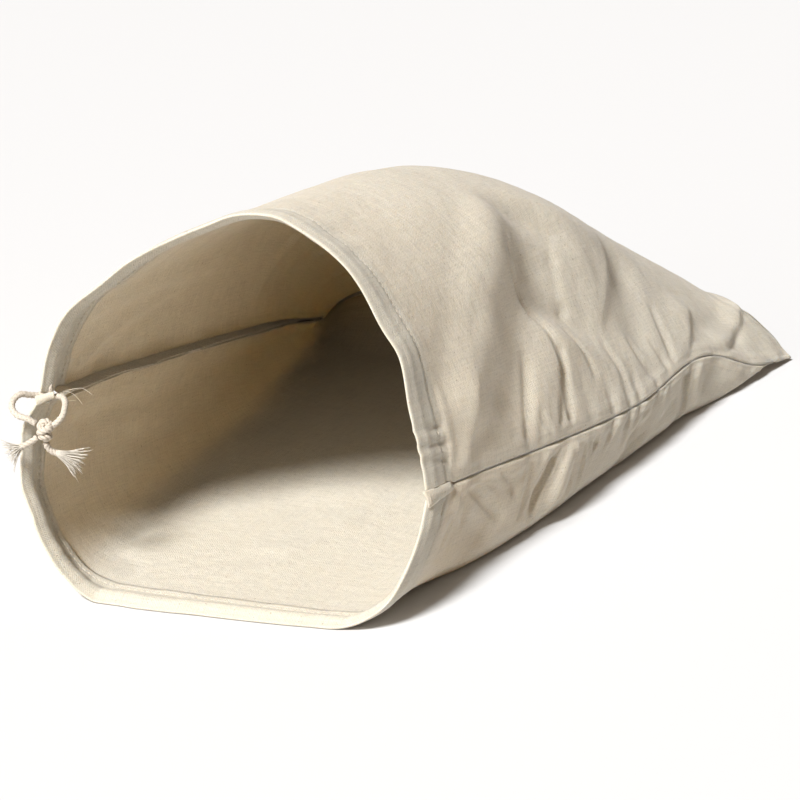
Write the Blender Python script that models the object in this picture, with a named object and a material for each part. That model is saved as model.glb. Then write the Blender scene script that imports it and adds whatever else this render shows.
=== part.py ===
"""Cotton bread bag lying on its side with its mouth open and its drawstring tied at the left seam.

Two panels of one cloth are sewn at both sides and at the far end, with the allowances inside.
Each panel is turned in at the mouth as a hem, and the hems carry the cord.
All sizes are in millimetres and become metres where an object is made.
A place on a panel is given by two cloth distances: across from the left seam, along from the mouth.
"""

import math

import bpy
import numpy as np

METRES = 0.001

# Driving sizes of the flat bag and of its cloth and cord
BAG_WIDTH = 300.0
BAG_LENGTH = 400.0
CLOTH = 1.0
GAP = 0.3
ALLOWANCE = 7.0
CORD = 3.0

# Middle of the bag's footprint in the section tables, which becomes the object's origin
FOOTPRINT_MIDDLE = (19.15, 205.36)

# The cloth's middle layer lies this high where the bag rests
REST = CLOTH / 2

# Clear room for the cord between the hem's two layers, middle to middle
CHANNEL = CORD + CLOTH + 0.9
HEM_TURN = CHANNEL / 2

# Place of the cord along the cloth in the channel, and by the left slit where both its ends leave
CORD_PLACE = 6.5
SLIT_PLACES = {"upper_panel": 5.0, "lower_panel": 9.0}
SLIT_REACH = 40.0
CORD_STEP = 2.4

# How far each sheet stands from the seam's own line, with allowances between them and without
ALLOWANCE_ROOM = 1.5
CORNER_ROOM = 0.45
SEAM_HALF = GAP / 2 + CLOTH / 2 + ALLOWANCE_ROOM
CORNER_HALF = GAP / 2 + CLOTH / 2 + CORNER_ROOM
SEAM_HOLD = 8.0
SEAM_BLEND = 26.0
NORMAL_STEP = 6.0
SMALL_STEP = 1.5
OPENING_SHARE = 0.6

# The allowances are clipped away at the far corners, from these distances on
SIDE_ALLOWANCE_END = 340.0
FAR_ALLOWANCE_START = 60.0
CLOSING = 18.0
CORNER_REACH = 12.0
MOST_STRETCH = 1.25

# Distance along the cloth: left seam, right seam
SEAMS = {
    0: ((-87.3, 11, 83.4), (80.3, 45, 50)),
    20: ((-87.8, 31, 81.5), (83.5, 64, 48.6)),
    50: ((-88.2, 60, 78), (90.5, 93, 45.5)),
    100: ((-88, 110, 70), (101, 142, 40)),
    200: ((-86, 206, 54), (119, 239, 30.6)),
    300: ((-99, 303, 29), (131, 336, 27)),
    350: ((-109, 351, 12), (145, 380, 9)),
    400: ((-117, 391, 1.4), (155, 421, 1.4)),
}

# Sections of the upper panel between the seams, from left to right, by distance along the cloth
UPPER_SECTIONS = {
    0: (
        (-83.5, 17, 106), (-74.1, 24, 125.5), (-64.2, 29, 134.6), (-43.7, 37, 147.9),
        (-20.6, 44, 159.3), (-9.2, 47, 163.9), (1, 48, 165.4), (10.4, 48, 165),
        (19.5, 48, 161.4), (42.3, 48, 146.3), (60.3, 48, 118.7), (65.3, 48, 111.8),
        (72.1, 47, 86.1), (76.4, 46.5, 71),
    ),
    50: (
        (-84, 68, 98), (-72, 75, 120), (-48, 86, 139), (-20, 94, 154), (4, 97, 160.5),
        (32, 98, 153), (58, 98, 130), (72, 98, 102), (84, 97, 72),
    ),
    100: (
        (-82, 116, 92), (-68, 126, 117), (-42, 136, 137), (4, 146, 156), (44, 147, 146),
        (70, 148, 118), (86, 148, 84),
    ),
    200: (
        (-80, 212, 82), (-68, 222, 106), (-42, 232, 125), (6, 246, 138), (46, 249, 133),
        (74, 250, 118), (94, 248, 84), (108, 244, 56),
    ),
    300: (
        (-92, 307, 50), (-60, 318, 80), (0, 332, 93), (56, 336, 89), (88, 336, 77),
        (112, 336, 52),
    ),
    350: (
        (-104, 353, 26), (-66, 362, 54), (0, 370, 66), (66, 372, 64), (104, 371, 55),
        (128, 374, 31),
    ),
}

# Sections of the lower panel between the seams, from left to right
LOWER_SECTIONS = {
    0: (
        (-95.5, 5, 64.6), (-92.1, 0, 48.2), (-85.5, -4, 36.6), (-77.2, -7, 22.6),
        (-68.2, -9, 12.1), (-59.2, -10, 4.5), (-51.7, -9.8, 0.5), (-8, -5.5, 0.5),
        (50.9, 3, 0.5), (58, 4.5, 1.4), (66.6, 6, 5.1), (75.5, 12, 12), (80.5, 20, 23.3),
        (82.4, 30, 35),
    ),
    50: (
        (-96, 52, 56), (-93, 46, 34), (-84, 42, 13), (-70, 40, 2.5), (-54, 40, 0.5), (0, 42, 0.5),
        (68, 50, 0.5), (82, 60, 9), (89, 76, 26),
    ),
    100: (
        (-95, 100, 44), (-93, 96, 24), (-84, 92, 8), (-71, 90, 1.5), (-54, 90, 0.5), (8, 92, 0.5),
        (86, 98, 0.5), (96, 112, 10), (100.5, 130, 26),
    ),
    200: (
        (-94, 197, 34), (-93, 194, 18), (-85, 190, 6), (-73, 188, 1.2), (-56, 188, 0.5), (10, 191, 0.5),
        (104, 198, 0.5), (112, 208, 7), (117, 224, 19),
    ),
    300: (
        (-105, 299, 17), (-102, 297, 8), (-95, 295, 2.6), (-84, 294, 0.7), (-66, 294, 0.5), (10, 296, 0.5),
        (119, 297, 0.5), (126, 306, 5), (129.5, 320, 16),
    ),
    350: (
        (-111, 349, 6), (-106, 348, 2.5), (-92, 347, 1.2), (-60, 346, 1.6), (10, 345, 5), (100, 345, 2),
        (130, 349, 0.5), (139, 362, 3),
    ),
}

# The far edge, where both panels end, between its two corners
FAR_EDGE = (
    (-110, 391, 10), (-72, 394, 26), (4, 398, 33), (70, 399, 36), (118, 396, 39),
    (127.4, 396, 36), (134, 400, 31.5), (139.5, 407, 24), (146.6, 415, 13.5), (151, 419, 6),
)

# Main folds. Places are (across, along); a depth above zero is a trough, below zero a ridge.
# panel, path, half width, depth
FOLDS = (
    ("upper_panel", ((200, 186), (228, 168), (253, 140), (282, 96)), 27, 8.0),
    ("upper_panel", ((198, 214), (226, 208), (252, 188)), 20, -4.0),
    ("upper_panel", ((236, 100), (262, 58), (284, 26)), 24, -2.5),
    ("upper_panel", ((222, 262), (258, 236), (284, 212)), 24, 3.5),
    ("upper_panel", ((284, 300), (272, 344), (262, 384)), 20, 4.0),
    ("upper_panel", ((60, 0), (70, 60)), 26, 2.0),
    ("lower_panel", ((292, 104), (272, 112), (250, 128)), 18, 3.0),
    ("lower_panel", ((290, 214), (270, 222), (256, 236)), 20, 3.0),
    ("lower_panel", ((284, 24), (268, 52), (256, 84)), 18, 2.4),
    ("lower_panel", ((26, 0), (30, 60)), 22, 3.0),
)
FOLD_FADE_SIDE = 18.0
FOLD_FADE_FAR = 45.0

# The hem's inner layer: place along the cloth from the mouth's edge, depth inside the outer layer
HEM_PROFILE = (
    (20.0, CLOTH + 0.4),
    (16.0, CLOTH + 0.5),
    (12.5, CHANNEL * 0.78),
    (8.0, CHANNEL),
    (HEM_TURN, CHANNEL),
    (HEM_TURN * 0.29, CHANNEL * 0.854),
    (0.0, CHANNEL * 0.5),
    (HEM_TURN * 0.29, CHANNEL * 0.146),
)

# The seam allowance: inward distance from the seam line, share of the sheet's stand-off
ALLOWANCE_PROFILE = (
    (ALLOWANCE, 0.302),
    (0.3, 0.302),
    (-0.6, 0.48),
    (-0.6, 0.83),
)
SLIT = 21.0

# The cord outside the channel, from the knot to the left slit: out of the upper hem, out of the lower
UPPER_STRAND = (
    (-86.2, -0.2, 77.4), (-91.5, -0.2, 78.6), (-95, 1.8, 80.4), (-96.2, 5.2, 83),
    (-94.6, 8.6, 84.7), (-92.2, 12, 83.6), (-89.8, 14.8, 82.8), (-87.5, 16, 82.7), (-85.4, 16.4, 83),
    (-84.5, 16.5, 84.8),
)
LOWER_STRAND = (
    (-85.9, 19.2, 79.2), (-84.7, 19.4, 80.9), (-82.6, 19.5, 81.8), (-79.4, 18.2, 81.9), (-76.2, 15, 81.4),
    (-74.3, 11, 80.2), (-73.4, 7.2, 78),
)

# The knot: half sizes of its core, and the turns of cord on it
# height above the knot's middle, half width, half length, way it faces and rise in degrees
KNOT_MIDDLE = (-79.3, 2, 72.2)
KNOT_CORE = (2.6, 2.4, 3.8)
KNOT_TURNS = (
    (2.5, 2.1, 2.3, 20, 28),
    (0.2, 2.4, 2.6, 75, -24),
    (-2.7, 1.8, 2.0, 200, 18),
    (0, 1.4, 3.6, 40, 82),
)
KNOT_ROUND = 24
KNOT_RINGS = 15
KNOT_TURN_STEPS = 48

# Rays that find where a cord's end clears the knot: how many round its rim, and how far off the rim lies
RIM_RAYS = 16
RIM_DISTANCES = (4, 8)

# The free ends of the cord, and the frayed tuft on each
LEFT_END = ((-84.6, -0.9, 67.5), (-86.4, -2.4, 66.4), (-88.4, -4, 65.4))
RIGHT_END = ((-78.9, 2.9, 64.2), (-77.4, 3.7, 62.4), (-75.2, 4.6, 61.4))
# length, fan across and fan along the view in degrees, droop
TUFTS = {
    "left_tuft": (6.4, 30, 16, 0.9),
    "right_tuft": (12.6, 36, 14, 0.4),
}
TUFT_HEAD = 1.6
TUFT_CELLS = (4, 3)

# The strands of a tuft: steps, share of its cell at the root, lost share of width at the tip, uneven share
STRAND_STEPS = 4
STRAND_ROOT = 0.72
STRAND_TAPER = 0.5
STRAND_UNEVEN = 0.14
STRAND_PHASE = 2.4

# Grid lines of a panel, which both panels share: by the seams, by the mouth and between
SIDE_LINES = (0, 5, CORNER_REACH)
MOUTH_LINES = (HEM_TURN, 8, 14, SLIT)
FIRST_MIDDLE_COLUMN = 24
MIDDLE_COLUMNS = 23
FIRST_MIDDLE_ROW = 36
LAST_MIDDLE_ROW = 374
MIDDLE_ROWS = 18

# Edges between faces steeper than this, in degrees, are drawn sharp
SHARP_EDGE = 50


def spline(knots, points, places):
    """A smooth curve through the points, read at the given places."""
    knots = np.asarray(knots, float)
    points = np.asarray(points, float)
    places = np.clip(np.atleast_1d(np.asarray(places, float)), knots[0], knots[-1])
    steps = np.diff(knots)[:, None]
    slopes = np.diff(points, axis=0) / steps
    tangents = np.empty_like(points)
    tangents[0] = slopes[0]
    tangents[-1] = slopes[-1]
    tangents[1:-1] = (slopes[:-1] * steps[1:] + slopes[1:] * steps[:-1]) / (steps[1:] + steps[:-1])
    index = np.clip(np.searchsorted(knots, places, side="right") - 1, 0, len(knots) - 2)
    step = steps[index]
    share = (places - knots[index])[:, None] / step
    start = (1 + 2 * share) * (1 - share) ** 2 * points[index]
    start += share * (1 - share) ** 2 * step * tangents[index]
    end = share ** 2 * (3 - 2 * share) * points[index + 1]
    end += share ** 2 * (share - 1) * step * tangents[index + 1]
    return start + end


def run_lengths(points):
    """Distance from the first point to each point along a polyline."""
    return np.concatenate([[0], np.cumsum(np.linalg.norm(np.diff(points, axis=0), axis=1))])


def evenly_along(points, shares):
    """Points at the given shares of the length of a smooth curve."""
    points = np.asarray(points, float)
    knots = run_lengths(points)
    fine = spline(knots, points, np.linspace(0, knots[-1], 301))
    lengths = run_lengths(fine)
    at = np.asarray(shares) * lengths[-1]
    return np.stack([np.interp(at, lengths, fine[:, axis]) for axis in range(3)], -1)


def drawn_panel(panel, across, along):
    """The panel as its sections draw it, with both sheets meeting on the seam lines."""
    sections = UPPER_SECTIONS if panel == "upper_panel" else LOWER_SECTIONS
    stations = [s for s in SEAMS if s in sections or s == BAG_LENGTH]
    rows = []
    for station in stations:
        left, right = SEAMS[station]
        between = FAR_EDGE if station == BAG_LENGTH else sections[station]
        rows.append(evenly_along((left, *between, right), across / BAG_WIDTH))
    flat = spline(stations, np.array(rows).reshape(len(rows), -1), along)
    return flat.reshape(len(along), len(across), 3)


def unit(vectors):
    """Vectors scaled to length one."""
    return vectors / np.linalg.norm(vectors, axis=-1, keepdims=True)


def across_bag(across, along):
    """Direction from the lower to the upper sheet, read a little inside the seams.

    Where the sheets lie almost on each other it is the way that both of them face.
    """
    inside_across = np.clip(across, SEAM_BLEND, BAG_WIDTH - SEAM_BLEND)
    inside_along = np.minimum(along, BAG_LENGTH - SEAM_BLEND)
    upper = drawn_panel("upper_panel", inside_across, inside_along)
    lower = drawn_panel("lower_panel", inside_across, inside_along)
    upper_normal = outward("upper_panel", drawn_panel, inside_across, inside_along, NORMAL_STEP)
    lower_normal = outward("lower_panel", drawn_panel, inside_across, inside_along, NORMAL_STEP)
    return unit(unit(upper - lower) * OPENING_SHARE + upper_normal - lower_normal)


def smooth_step(value):
    """Zero below zero, one above one and a soft rise between."""
    share = np.clip(value, 0, 1)
    return share * share * (3 - 2 * share)


def seam_weight(distance):
    """How much of the stand-off a sheet keeps at a distance from a seam."""
    return 1 - smooth_step((distance - SEAM_HOLD) / (SEAM_BLEND - SEAM_HOLD))


def stand_off(across, along):
    """How far a sheet stands from the middle between the sheets, near the seams."""
    side = np.minimum(across, BAG_WIDTH - across)
    far = BAG_LENGTH - along
    side_share = smooth_step((SIDE_ALLOWANCE_END + CLOSING - along) / CLOSING)
    far_share = smooth_step((side - FAR_ALLOWANCE_START + CLOSING) / CLOSING)
    side_half = CORNER_HALF + (SEAM_HALF - CORNER_HALF) * side_share
    far_half = CORNER_HALF + (SEAM_HALF - CORNER_HALF) * far_share
    near_side = seam_weight(side)[None, :] * side_half[:, None]
    near_far = seam_weight(far)[:, None] * far_half[None, :]
    return np.maximum(near_side, near_far)


def parted_panel(panel, across, along):
    """The drawn panel with the two sheets parted along the seams and lying on the ground."""
    side = 1 if panel == "upper_panel" else -1
    parted = across_bag(across, along) * (side * stand_off(across, along))[:, :, None]
    points = drawn_panel(panel, across, along) + parted
    points[:, :, 2] = np.maximum(points[:, :, 2], REST)
    return points


def outward(panel, shape, across, along, step=SMALL_STEP):
    """Outward normals of a panel, from points a small step away."""
    side = 1 if panel == "upper_panel" else -1
    before = np.clip(across - step, 0, BAG_WIDTH)
    after = np.clip(across + step, 0, BAG_WIDTH)
    toward_mouth = np.clip(along - step, 0, BAG_LENGTH)
    toward_end = np.clip(along + step, 0, BAG_LENGTH)
    along_section = shape(panel, after, along) - shape(panel, before, along)
    along_bag = shape(panel, across, toward_end) - shape(panel, across, toward_mouth)
    return unit(np.cross(along_section, along_bag)) * side


def distance_to_path(path, across, along):
    """Distance over the flat cloth from each grid point to a path."""
    grid = np.stack(np.meshgrid(across, along), -1)
    nearest = np.full(grid.shape[:2], np.inf)
    for start, end in zip(path[:-1], path[1:]):
        start = np.array(start, float)
        run = np.array(end, float) - start
        share = np.clip((grid - start) @ run / (run @ run), 0, 1)
        offset = grid - (start + share[:, :, None] * run)
        nearest = np.minimum(nearest, np.linalg.norm(offset, axis=-1))
    return nearest


def fold_depth(panel, across, along):
    """Depth of all folds at each grid point, none of it at the seams."""
    depth = np.zeros((len(along), len(across)))
    for name, path, half_width, fold in FOLDS:
        if name == panel:
            distance = np.minimum(distance_to_path(path, across, along) / half_width, 1)
            depth += fold * (1 + np.cos(math.pi * distance)) / 2
    side = np.minimum(across, BAG_WIDTH - across) - ALLOWANCE
    far = BAG_LENGTH - along - ALLOWANCE
    fade_side = smooth_step(side / FOLD_FADE_SIDE)[None, :]
    fade_far = smooth_step(far / FOLD_FADE_FAR)[:, None]
    return depth * fade_side * fade_far


def folded_panel(panel, across, along):
    """The middle layer of a panel's cloth with its folds."""
    across = np.asarray(across, float)
    along = np.asarray(along, float)
    points = parted_panel(panel, across, along)
    normals = outward(panel, parted_panel, across, along)
    points = points - normals * fold_depth(panel, across, along)[:, :, None]
    points[:, :, 2] = np.maximum(points[:, :, 2], REST)
    return points


def grid_lines():
    """The cloth distances of a panel's columns and rows, closer together at seams and mouth."""
    side = np.array(SIDE_LINES)
    middle = np.linspace(FIRST_MIDDLE_COLUMN, BAG_WIDTH - FIRST_MIDDLE_COLUMN, MIDDLE_COLUMNS)
    across = np.concatenate([side, middle, BAG_WIDTH - side[::-1]])
    body = np.linspace(FIRST_MIDDLE_ROW, LAST_MIDDLE_ROW, MIDDLE_ROWS)
    along = np.concatenate([MOUTH_LINES, body, BAG_LENGTH - side[::-1]])
    return across, along


def panel_lattice(panel):
    """Points of the panel's middle layer by (row, column), and the cells between them."""
    across, along = grid_lines()
    points = {}
    cells = []
    body = folded_panel(panel, across, along)
    for row in range(len(along)):
        for column in range(len(across)):
            points[row, column] = body[row, column]
    add_hem(panel, across, points)
    add_side_allowances(panel, across, along, points, cells)
    add_far_allowance(panel, across, along, points, cells)
    for row in range(-len(HEM_PROFILE), len(along) - 1):
        for column in range(len(across) - 1):
            cells.append((row, column))
    return points, cells


def add_hem(panel, across, points):
    """The turned-in hem, in rows before the panel's first one."""
    places = np.array([place for place, _ in HEM_PROFILE])
    order = np.argsort(places)
    surface = folded_panel(panel, across, places[order])
    normals = outward(panel, folded_panel, across, places[order])
    for row, (_, depth) in enumerate(HEM_PROFILE):
        at = int(np.where(order == row)[0][0])
        layer = surface[at] - normals[at] * depth
        for column in range(len(across)):
            points[row - len(HEM_PROFILE), column] = layer[column]


def allowance_point(edge, apart, inward, panel, profile_row, half):
    """A point of the allowance's cross-section at one place of a seam."""
    distance, share = profile_row
    side = 1 if panel == "upper_panel" else -1
    return edge + inward * distance + apart * (side * share * half)


def without(vectors, direction):
    """Vectors less their part along a unit direction."""
    return vectors - direction * np.sum(vectors * direction, axis=-1, keepdims=True)


def seam_frames(across, along, inset_across, inset_along, seam_axis):
    """Seam points with the direction across the bag and the one into it."""
    edge = drawn_panel("upper_panel", across, along)
    tangent = unit(np.gradient(edge, axis=seam_axis))
    apart = unit(without(across_bag(across, along), tangent))
    inside_across = np.clip(across, inset_across, BAG_WIDTH - inset_across)
    inside_along = np.minimum(along, BAG_LENGTH - inset_along)
    upper = drawn_panel("upper_panel", inside_across, inside_along)
    lower = drawn_panel("lower_panel", inside_across, inside_along)
    inward = without(without((upper + lower) / 2 - edge, tangent), apart)
    return edge, apart, unit(inward)


def add_side_allowances(panel, across, along, points, cells):
    """The allowances along both side seams, in columns outside the panel's own."""
    edge, apart, inward = seam_frames(np.array([0.0, BAG_WIDTH]), along, BAG_WIDTH / 4, 0, seam_axis=0)
    count = len(ALLOWANCE_PROFILE)
    last = len(across) - 1
    for row, place in enumerate(along):
        if not SLIT <= place <= SIDE_ALLOWANCE_END:
            continue
        for step, profile_row in enumerate(ALLOWANCE_PROFILE):
            for side, column in ((0, step - count), (1, last + count - step)):
                points[row, column] = allowance_point(
                    edge[row, side], apart[row, side], inward[row, side], panel, profile_row, SEAM_HALF
                )
        if along[row + 1] <= SIDE_ALLOWANCE_END:
            for step in range(count):
                cells.append((row, step - count))
                cells.append((row, last + step))


def add_far_allowance(panel, across, along, points, cells):
    """The allowance along the far seam, in rows after the panel's last one."""
    edge, apart, inward = seam_frames(across, np.array([BAG_LENGTH]), 0, 2 * SEAM_BLEND, seam_axis=1)
    count = len(ALLOWANCE_PROFILE)
    last = len(along) - 1
    reach = BAG_WIDTH / 2 - FAR_ALLOWANCE_START
    columns = [c for c, place in enumerate(across) if abs(place - BAG_WIDTH / 2) <= reach]
    for column in columns:
        for step, profile_row in enumerate(ALLOWANCE_PROFILE):
            points[last + count - step, column] = allowance_point(
                edge[0, column], apart[0, column], inward[0, column], panel, profile_row, SEAM_HALF
            )
    for column in columns[:-1]:
        for step in range(count):
            cells.append((last + step, column))


def sheet_triangles(cells, number, flip):
    """The cells of a sheet as triangles that face outward, all split along the same diagonal."""
    triangles = []
    for row, column in cells:
        corners = ((row, column), (row, column + 1), (row + 1, column + 1), (row + 1, column))
        first, second, third, fourth = (number[corner] for corner in corners)
        for triangle in ((first, second, third), (first, third, fourth)):
            triangles.append(triangle[::-1] if flip else triangle)
    return np.array(triangles)


def vertex_offsets(middle, triangles):
    """Half the cloth's thickness along each vertex's normal, longer where the sheet bends."""
    first, second, third = (middle[triangles[:, corner]] for corner in range(3))
    face_normals = unit(np.cross(second - first, third - first))
    sums = np.zeros_like(middle)
    for corner in range(3):
        np.add.at(sums, triangles[:, corner], face_normals)
    normals = unit(sums)
    facing = np.zeros(len(middle))
    shared = np.zeros(len(middle))
    for corner in range(3):
        at = triangles[:, corner]
        np.add.at(facing, at, np.sum(normals[at] * face_normals, axis=1))
        np.add.at(shared, at, 1)
    return normals * (np.minimum(shared / facing, MOST_STRETCH) * CLOTH / 2)[:, None]


def thickened(points, cells, flip):
    """Vertices and faces of a sheet of cloth about its middle layer."""
    corners = ((0, 0), (0, 1), (1, 0), (1, 1))
    keys = sorted({(row + down, column + right) for row, column in cells for down, right in corners})
    number = {key: place for place, key in enumerate(keys)}
    middle = np.array([points[key] for key in keys])
    triangles = sheet_triangles(cells, number, flip)
    offsets = vertex_offsets(middle, triangles)
    vertices = np.concatenate([middle + offsets, middle - offsets])
    vertices[:, 2] = np.maximum(vertices[:, 2], 0)
    under = len(middle)
    faces = [tuple(triangle) for triangle in triangles]
    faces += [tuple(index + under for index in triangle[::-1]) for triangle in triangles]
    edges = {(triangle[corner - 1], triangle[corner]) for triangle in triangles for corner in range(3)}
    faces += [(b, a, a + under, b + under) for a, b in sorted(edges) if (b, a) not in edges]
    return vertices, faces


def add_mesh(name, vertices, faces, material):
    """A mesh object with its origin at the world's, from millimetres in the section tables."""
    placed = (np.asarray(vertices, float) - (*FOOTPRINT_MIDDLE, 0)) * METRES
    mesh = bpy.data.meshes.new(name)
    mesh.from_pydata([tuple(vertex) for vertex in placed], [], [tuple(map(int, face)) for face in faces])
    mesh.materials.append(material)
    built = bpy.data.objects.new(name, mesh)
    bpy.context.collection.objects.link(built)
    mesh.shade_smooth()
    mesh.set_sharp_from_angle(angle=math.radians(SHARP_EDGE))
    return built


def add_panel(name, material):
    """One panel with its hem and its seam allowances."""
    points, cells = panel_lattice(name)
    vertices, faces = thickened(points, cells, flip=name == "lower_panel")
    return add_mesh(name, vertices, faces, material)


def channel_points(panel, across):
    """Middle of the hem's channel at cloth distances across, for the cord."""
    near_slit = 1 - smooth_step(np.asarray(across, float) / SLIT_REACH)
    places = CORD_PLACE + (SLIT_PLACES[panel] - CORD_PLACE) * near_slit
    points = []
    for column, place in zip(across, places):
        surface = folded_panel(panel, [column], [place])[0, 0]
        normal = outward(panel, folded_panel, np.array([column]), np.array([place]))[0, 0]
        points.append(surface - normal * CHANNEL / 2)
    return np.array(points)


def evenly_spaced(route, step):
    """Points about a step apart on a smooth curve through the route's points."""
    length = run_lengths(np.asarray(route, float))[-1]
    return evenly_along(route, np.linspace(0, 1, round(length / step) + 1))


def drawstring_points():
    """The cord's middle line: knot, upper hem, right slit, lower hem, knot."""
    across, _ = grid_lines()
    upper = channel_points("upper_panel", across[1:])
    lower = channel_points("lower_panel", across[1:])[::-1]
    start = evenly_spaced((off_knot(UPPER_STRAND[0]), *UPPER_STRAND), CORD_STEP)
    end = evenly_spaced((*LOWER_STRAND, off_knot(LOWER_STRAND[-1])), CORD_STEP)
    return np.concatenate([start, upper, lower, end])


def add_cord(name, points, material):
    """A round cord along the points."""
    curve = bpy.data.curves.new(name, "CURVE")
    curve.dimensions = "3D"
    curve.bevel_depth = CORD / 2 * METRES
    curve.bevel_resolution = 2
    curve.use_fill_caps = True
    line = curve.splines.new("POLY")
    line.points.add(len(points) - 1)
    for place, point in zip(line.points, np.asarray(points, float)):
        place.co = (*((point - (*FOOTPRINT_MIDDLE, 0)) * METRES), 1)
    curve.materials.append(material)
    built = bpy.data.objects.new(name, curve)
    bpy.context.collection.objects.link(built)
    return built


def knot_turn_points():
    """Points on the middle line of every turn of cord on the knot."""
    angles = np.linspace(0, 2 * math.pi, KNOT_TURN_STEPS, endpoint=False)[:, None]
    turns = []
    for height, half_width, half_length, facing, rise in KNOT_TURNS:
        facing = math.radians(facing)
        rise = math.radians(rise)
        sideways = np.array([math.cos(facing), math.sin(facing), 0])
        level = np.array([-math.sin(facing), math.cos(facing), 0])
        upward = level * math.cos(rise) + np.array([0, 0, math.sin(rise)])
        turn = sideways * half_width * np.cos(angles) + upward * half_length * np.sin(angles)
        turns.append(turn + (0, 0, height))
    return np.concatenate(turns)


def knot_radius(directions):
    """How far the knot reaches from its middle along each direction."""
    core = 1 / np.linalg.norm(directions / np.array(KNOT_CORE), axis=-1)
    reach = core
    for point in knot_turn_points():
        along_ray = directions @ point
        inside = (CORD / 2) ** 2 - point @ point + along_ray ** 2
        hit = np.where((inside > 0) & (along_ray > 0), along_ray + np.sqrt(np.maximum(inside, 0)), 0)
        reach = np.maximum(reach, hit)
    return reach


def off_knot(toward):
    """The place for a cord's end just off the knot, on the way to a point."""
    direction = unit(np.asarray(toward, float) - KNOT_MIDDLE)
    sideways = unit(np.cross(direction, (0.0, 0.0, 1.0)))
    upward = np.cross(direction, sideways)
    rays = [direction]
    for turn in np.linspace(0, 2 * math.pi, RIM_RAYS, endpoint=False):
        rim = (sideways * math.cos(turn) + upward * math.sin(turn)) * CORD / 2
        rays += [unit(direction * distance + rim) for distance in RIM_DISTANCES]
    rays = np.array(rays)
    return KNOT_MIDDLE + direction * (np.max(knot_radius(rays) * (rays @ direction)) + GAP)


def add_knot(material):
    """The knot as one lumpy solid."""
    directions = [(0, 0, 1)]
    for ring in range(1, KNOT_RINGS):
        fall = math.pi * ring / KNOT_RINGS
        for spoke in range(KNOT_ROUND):
            turn = 2 * math.pi * spoke / KNOT_ROUND
            level = math.sin(fall)
            directions.append((level * math.cos(turn), level * math.sin(turn), math.cos(fall)))
    directions.append((0, 0, -1))
    directions = np.array(directions)
    vertices = directions * knot_radius(directions)[:, None] + KNOT_MIDDLE
    last = len(vertices) - 1
    faces = []
    for spoke in range(KNOT_ROUND):
        beside = (spoke + 1) % KNOT_ROUND
        faces.append((0, 1 + spoke, 1 + beside))
        for ring in range(KNOT_RINGS - 2):
            upper = 1 + ring * KNOT_ROUND
            lower = upper + KNOT_ROUND
            faces.append((upper + spoke, lower + spoke, lower + beside))
            faces.append((upper + spoke, lower + beside, upper + beside))
        bottom = last - KNOT_ROUND
        faces.append((last, bottom + beside, bottom + spoke))
    return add_mesh("knot", vertices, faces, material)


def on_disc(x, y):
    """A place in the square from -1 to 1, moved into the round of radius 1."""
    return x * math.sqrt(1 - y * y / 2), y * math.sqrt(1 - x * x / 2)


def tuft_frame(end):
    """The tip of a cord's end, its direction there, and the two directions across it."""
    end = np.asarray(end, float)
    axis = unit(end[-1] - end[-2])
    across = unit(np.cross(axis, (0.0, 1.0, 0.0)))
    return end[-1], axis, across, np.cross(axis, across)


def disc_grid(middle, across, along):
    """The points of a round face by (row, column)."""
    columns, rows = TUFT_CELLS
    points = {}
    for row in range(rows + 1):
        for column in range(columns + 1):
            x, y = on_disc(2 * column / columns - 1, 2 * row / rows - 1)
            points[row, column] = middle + (across * x + along * y) * CORD / 2
    return points


def disc_rim():
    """The (row, column) places round the edge of a round face."""
    columns, rows = TUFT_CELLS
    rim = [(0, column) for column in range(columns)]
    rim += [(row, columns) for row in range(rows)]
    rim += [(rows, column) for column in range(columns, 0, -1)]
    rim += [(row, 0) for row in range(rows, 0, -1)]
    return rim


def strand_rings(corners, direction, length, droop):
    """The four-sided rings of one loose strand, from its root to its tip."""
    middle = sum(corners) / len(corners)
    roots = [middle + (corner - middle) * STRAND_ROOT for corner in corners]
    rings = [roots]
    for step in range(1, STRAND_STEPS + 1):
        share = step / STRAND_STEPS
        sunk = np.array([0, 0, -droop * share * share])
        centre = middle + direction * length * share + sunk
        size = 1 - STRAND_TAPER * share
        rings.append([centre + (root - middle) * size for root in roots])
    return rings


def add_tuft(name, end, material):
    """A cord's frayed end: a short head whose end face is drawn out into loose strands."""
    length, fan_across, fan_along, droop = TUFTS[name]
    tip, axis, across, along = tuft_frame(end)
    columns, rows = TUFT_CELLS
    back = disc_grid(tip + axis * GAP, across, along)
    front = disc_grid(tip + axis * (GAP + TUFT_HEAD), across, along)
    number = {("back", key): place for place, key in enumerate(back)}
    number.update({("front", key): len(back) + place for place, key in enumerate(front)})
    vertices = [*back.values(), *front.values()]
    rim = disc_rim()
    faces = []
    for first, second in zip(rim, rim[1:] + rim[:1]):
        behind = (number["back", first], number["back", second])
        faces.append((*behind, number["front", second], number["front", first]))
    for row in range(rows):
        for column in range(columns):
            cell = ((row, column), (row, column + 1), (row + 1, column + 1), (row + 1, column))
            faces.append(tuple(number["back", corner] for corner in cell[::-1]))
            x = 2 * (column + 0.5) / columns - 1
            y = 2 * (row + 0.5) / rows - 1
            lean = across * math.tan(math.radians(fan_across)) * x
            lean = lean + along * math.tan(math.radians(fan_along)) * y
            swing = math.sin(STRAND_PHASE * (row * columns + column) + length)
            reach = length * (1 - STRAND_UNEVEN + STRAND_UNEVEN * swing)
            corners = [front[corner] for corner in cell]
            below = [number["front", corner] for corner in cell]
            for ring in strand_rings(corners, unit(axis + lean), reach, droop):
                above = [len(vertices) + side for side in range(len(ring))]
                vertices += ring
                for side in range(len(ring)):
                    beside = (side + 1) % len(ring)
                    faces.append((below[side], below[beside], above[beside], above[side]))
                below = above
            faces.append(tuple(below))
    return add_mesh(name, vertices, faces, material)


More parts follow.
